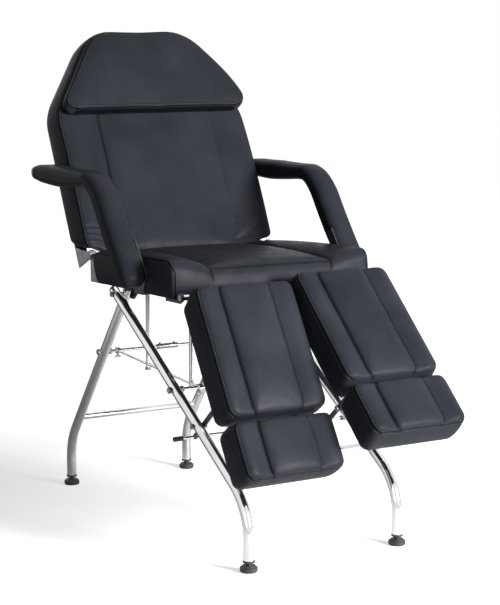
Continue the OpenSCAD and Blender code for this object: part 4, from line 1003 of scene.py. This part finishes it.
# %% [markdown]
# ## Armrests
# An armrest is one long padded bar. It starts low beside the seat, climbs steeply
# and ends in a level part to lay the forearm on. Its section is a rounded square
# that is carried along that path. Both armrests have the same cover, so on each the
# front corner on the sitter's right is the roundest, and the seams run along the
# other three.

# %% Armrest pads
ARM_X, ARM_W, ARM_T, ARM_RUN, ARM_SLOPE = 0.315, 0.068, 0.049, 0.712, 55.0
ARM_START = (-0.07378, 0.683)
ARM_ANGLES = ((0, 0.068, 0.33, 0.426, 0.523, 0.6, 1), (1.35, 0.91, 1.04, 0.73, -0.03, -0.02, 0.1))
ARM_THICK = ((0, 0.02, 0.06, 0.19, 0.35, 0.47, 0.56, 0.73, 0.88, 0.94, 0.98, 1),
             (0.55, 0.84, 1.01, 1.11, 1.1, 0.87, 0.91, 1.13, 1, 0.8, 0.48, 0.2))
ARM_WIDE = ((0, 0.02, 0.06, 0.93, 0.975, 1), (0.7, 0.92, 1, 1, 0.68, 0.12))
ROUND_POWER, SQUARE_POWER, PATH_STEPS = 0.85, 0.42, 400
ARM_CAP, ARM_CAP_RINGS = 0.004, (0.86, 0.5, 0.2)


def armrest(side, around=64, along=150):
    """Rings of a superellipse, whose sine and cosine are raised to a power, stand square to a
    path: the lower the power, the squarer the corner. The path is the running sum of steps in
    the direction given by its slope. Smaller rings close each end in a quarter ellipse."""
    fine = np.linspace(0.0, 1.0, PATH_STEPS + 1)
    mid = (fine[1:] + fine[:-1]) / 2.0
    turn = np.radians(ARM_SLOPE * np.interp(mid, *ARM_ANGLES))
    step = ARM_RUN / PATH_STEPS
    path_y = ARM_START[0] + np.concatenate([[0.0], np.cumsum(np.cos(turn))]) * step
    path_z = ARM_START[1] + np.concatenate([[0.0], np.cumsum(np.sin(turn))]) * step
    s = np.concatenate([[0.0, 0.004, 0.009], np.linspace(0.016, 0.985, along), [0.991, 0.996, 1.0]])
    y, z = np.interp(s, fine, path_y), np.interp(s, fine, path_z)
    slope = np.radians(ARM_SLOPE * np.interp(s, *ARM_ANGLES))
    thick = ARM_T / 2.0 * np.interp(s, *ARM_THICK)
    wide = ARM_W / 2.0 * np.interp(s, *ARM_WIDE)
    k = np.arange(around) * 2.0 * math.pi / around
    rounded = (side * np.cos(k) < 0.0) & (np.sin(k) > 0.0)
    power = np.where(rounded, ROUND_POWER, SQUARE_POWER)
    across = np.sign(np.cos(k)) * np.abs(np.cos(k)) ** power
    up = np.sign(np.sin(k)) * np.abs(np.sin(k)) ** power
    over = np.interp(s, (0.0, 0.02, 0.98, 1.0), (0.86, 1.0, 1.0, 0.9))
    X = side * (ARM_X + ARM_W / 2.0 + np.outer(wide * over, across))
    Y = y[:, None] - np.outer(thick * over, up) * np.sin(slope)[:, None]
    Z = z[:, None] + np.outer(thick * over, up) * np.cos(slope)[:, None]
    rings = np.stack([X, Y, Z], -1)
    caps = []
    for end, sign in ((0, -1.0), (-1, 1.0)):
        centre = rings[end].mean(0)
        ahead = np.array([0.0, math.cos(slope[end]), math.sin(slope[end])]) * sign
        caps.append([centre + (rings[end] - centre) * keep
                     + ahead * ARM_CAP * math.sqrt(1.0 - keep ** 2) for keep in ARM_CAP_RINGS]
                    + [centre + ahead * ARM_CAP])
    count = len(s) + 2 * len(ARM_CAP_RINGS)
    stack = np.concatenate([np.array(caps[0][-2::-1]), rings, np.array(caps[1][:-1])])
    verts = np.concatenate([stack.reshape(-1, 3), [caps[0][-1], caps[1][-1]]])
    grid = np.arange(count * around).reshape(count, around)
    nxt = np.roll(grid, -1, axis=1)
    quads = np.stack([grid[:-1], grid[1:], nxt[1:], nxt[:-1]], -1).reshape(-1, 4)
    first = np.stack([grid[0], nxt[0], np.full(around, count * around)], 1)
    last = np.stack([nxt[-1], grid[-1], np.full(around, count * around + 1)], 1)
    if side < 0:
        quads, first, last = quads[:, ::-1], first[:, ::-1], last[:, ::-1]
    corners = (3 / 8, 5 / 8, 7 / 8) if side < 0 else (1 / 8, 5 / 8, 7 / 8)
    seams = [grid[4:-4, int(around * corner)] for corner in corners]
    return verts, quads.tolist() + first.tolist() + last.tolist(), seams


for side_name, side in (("right", right), ("left", left)):
    verts, faces, seams = armrest(side)
    obj = mesh_object("armrest_upholstery_" + side_name, verts, faces, leather)
    line_distances(obj, seams)
    finish_pad(obj, "armrest_" + side_name + "_body", ["armrest_pad_" + side_name])
    stitch_rows("armrest_stitches_" + side_name, obj, "armrest_" + side_name + "_body", seams)
print("armrest points:", len(verts))
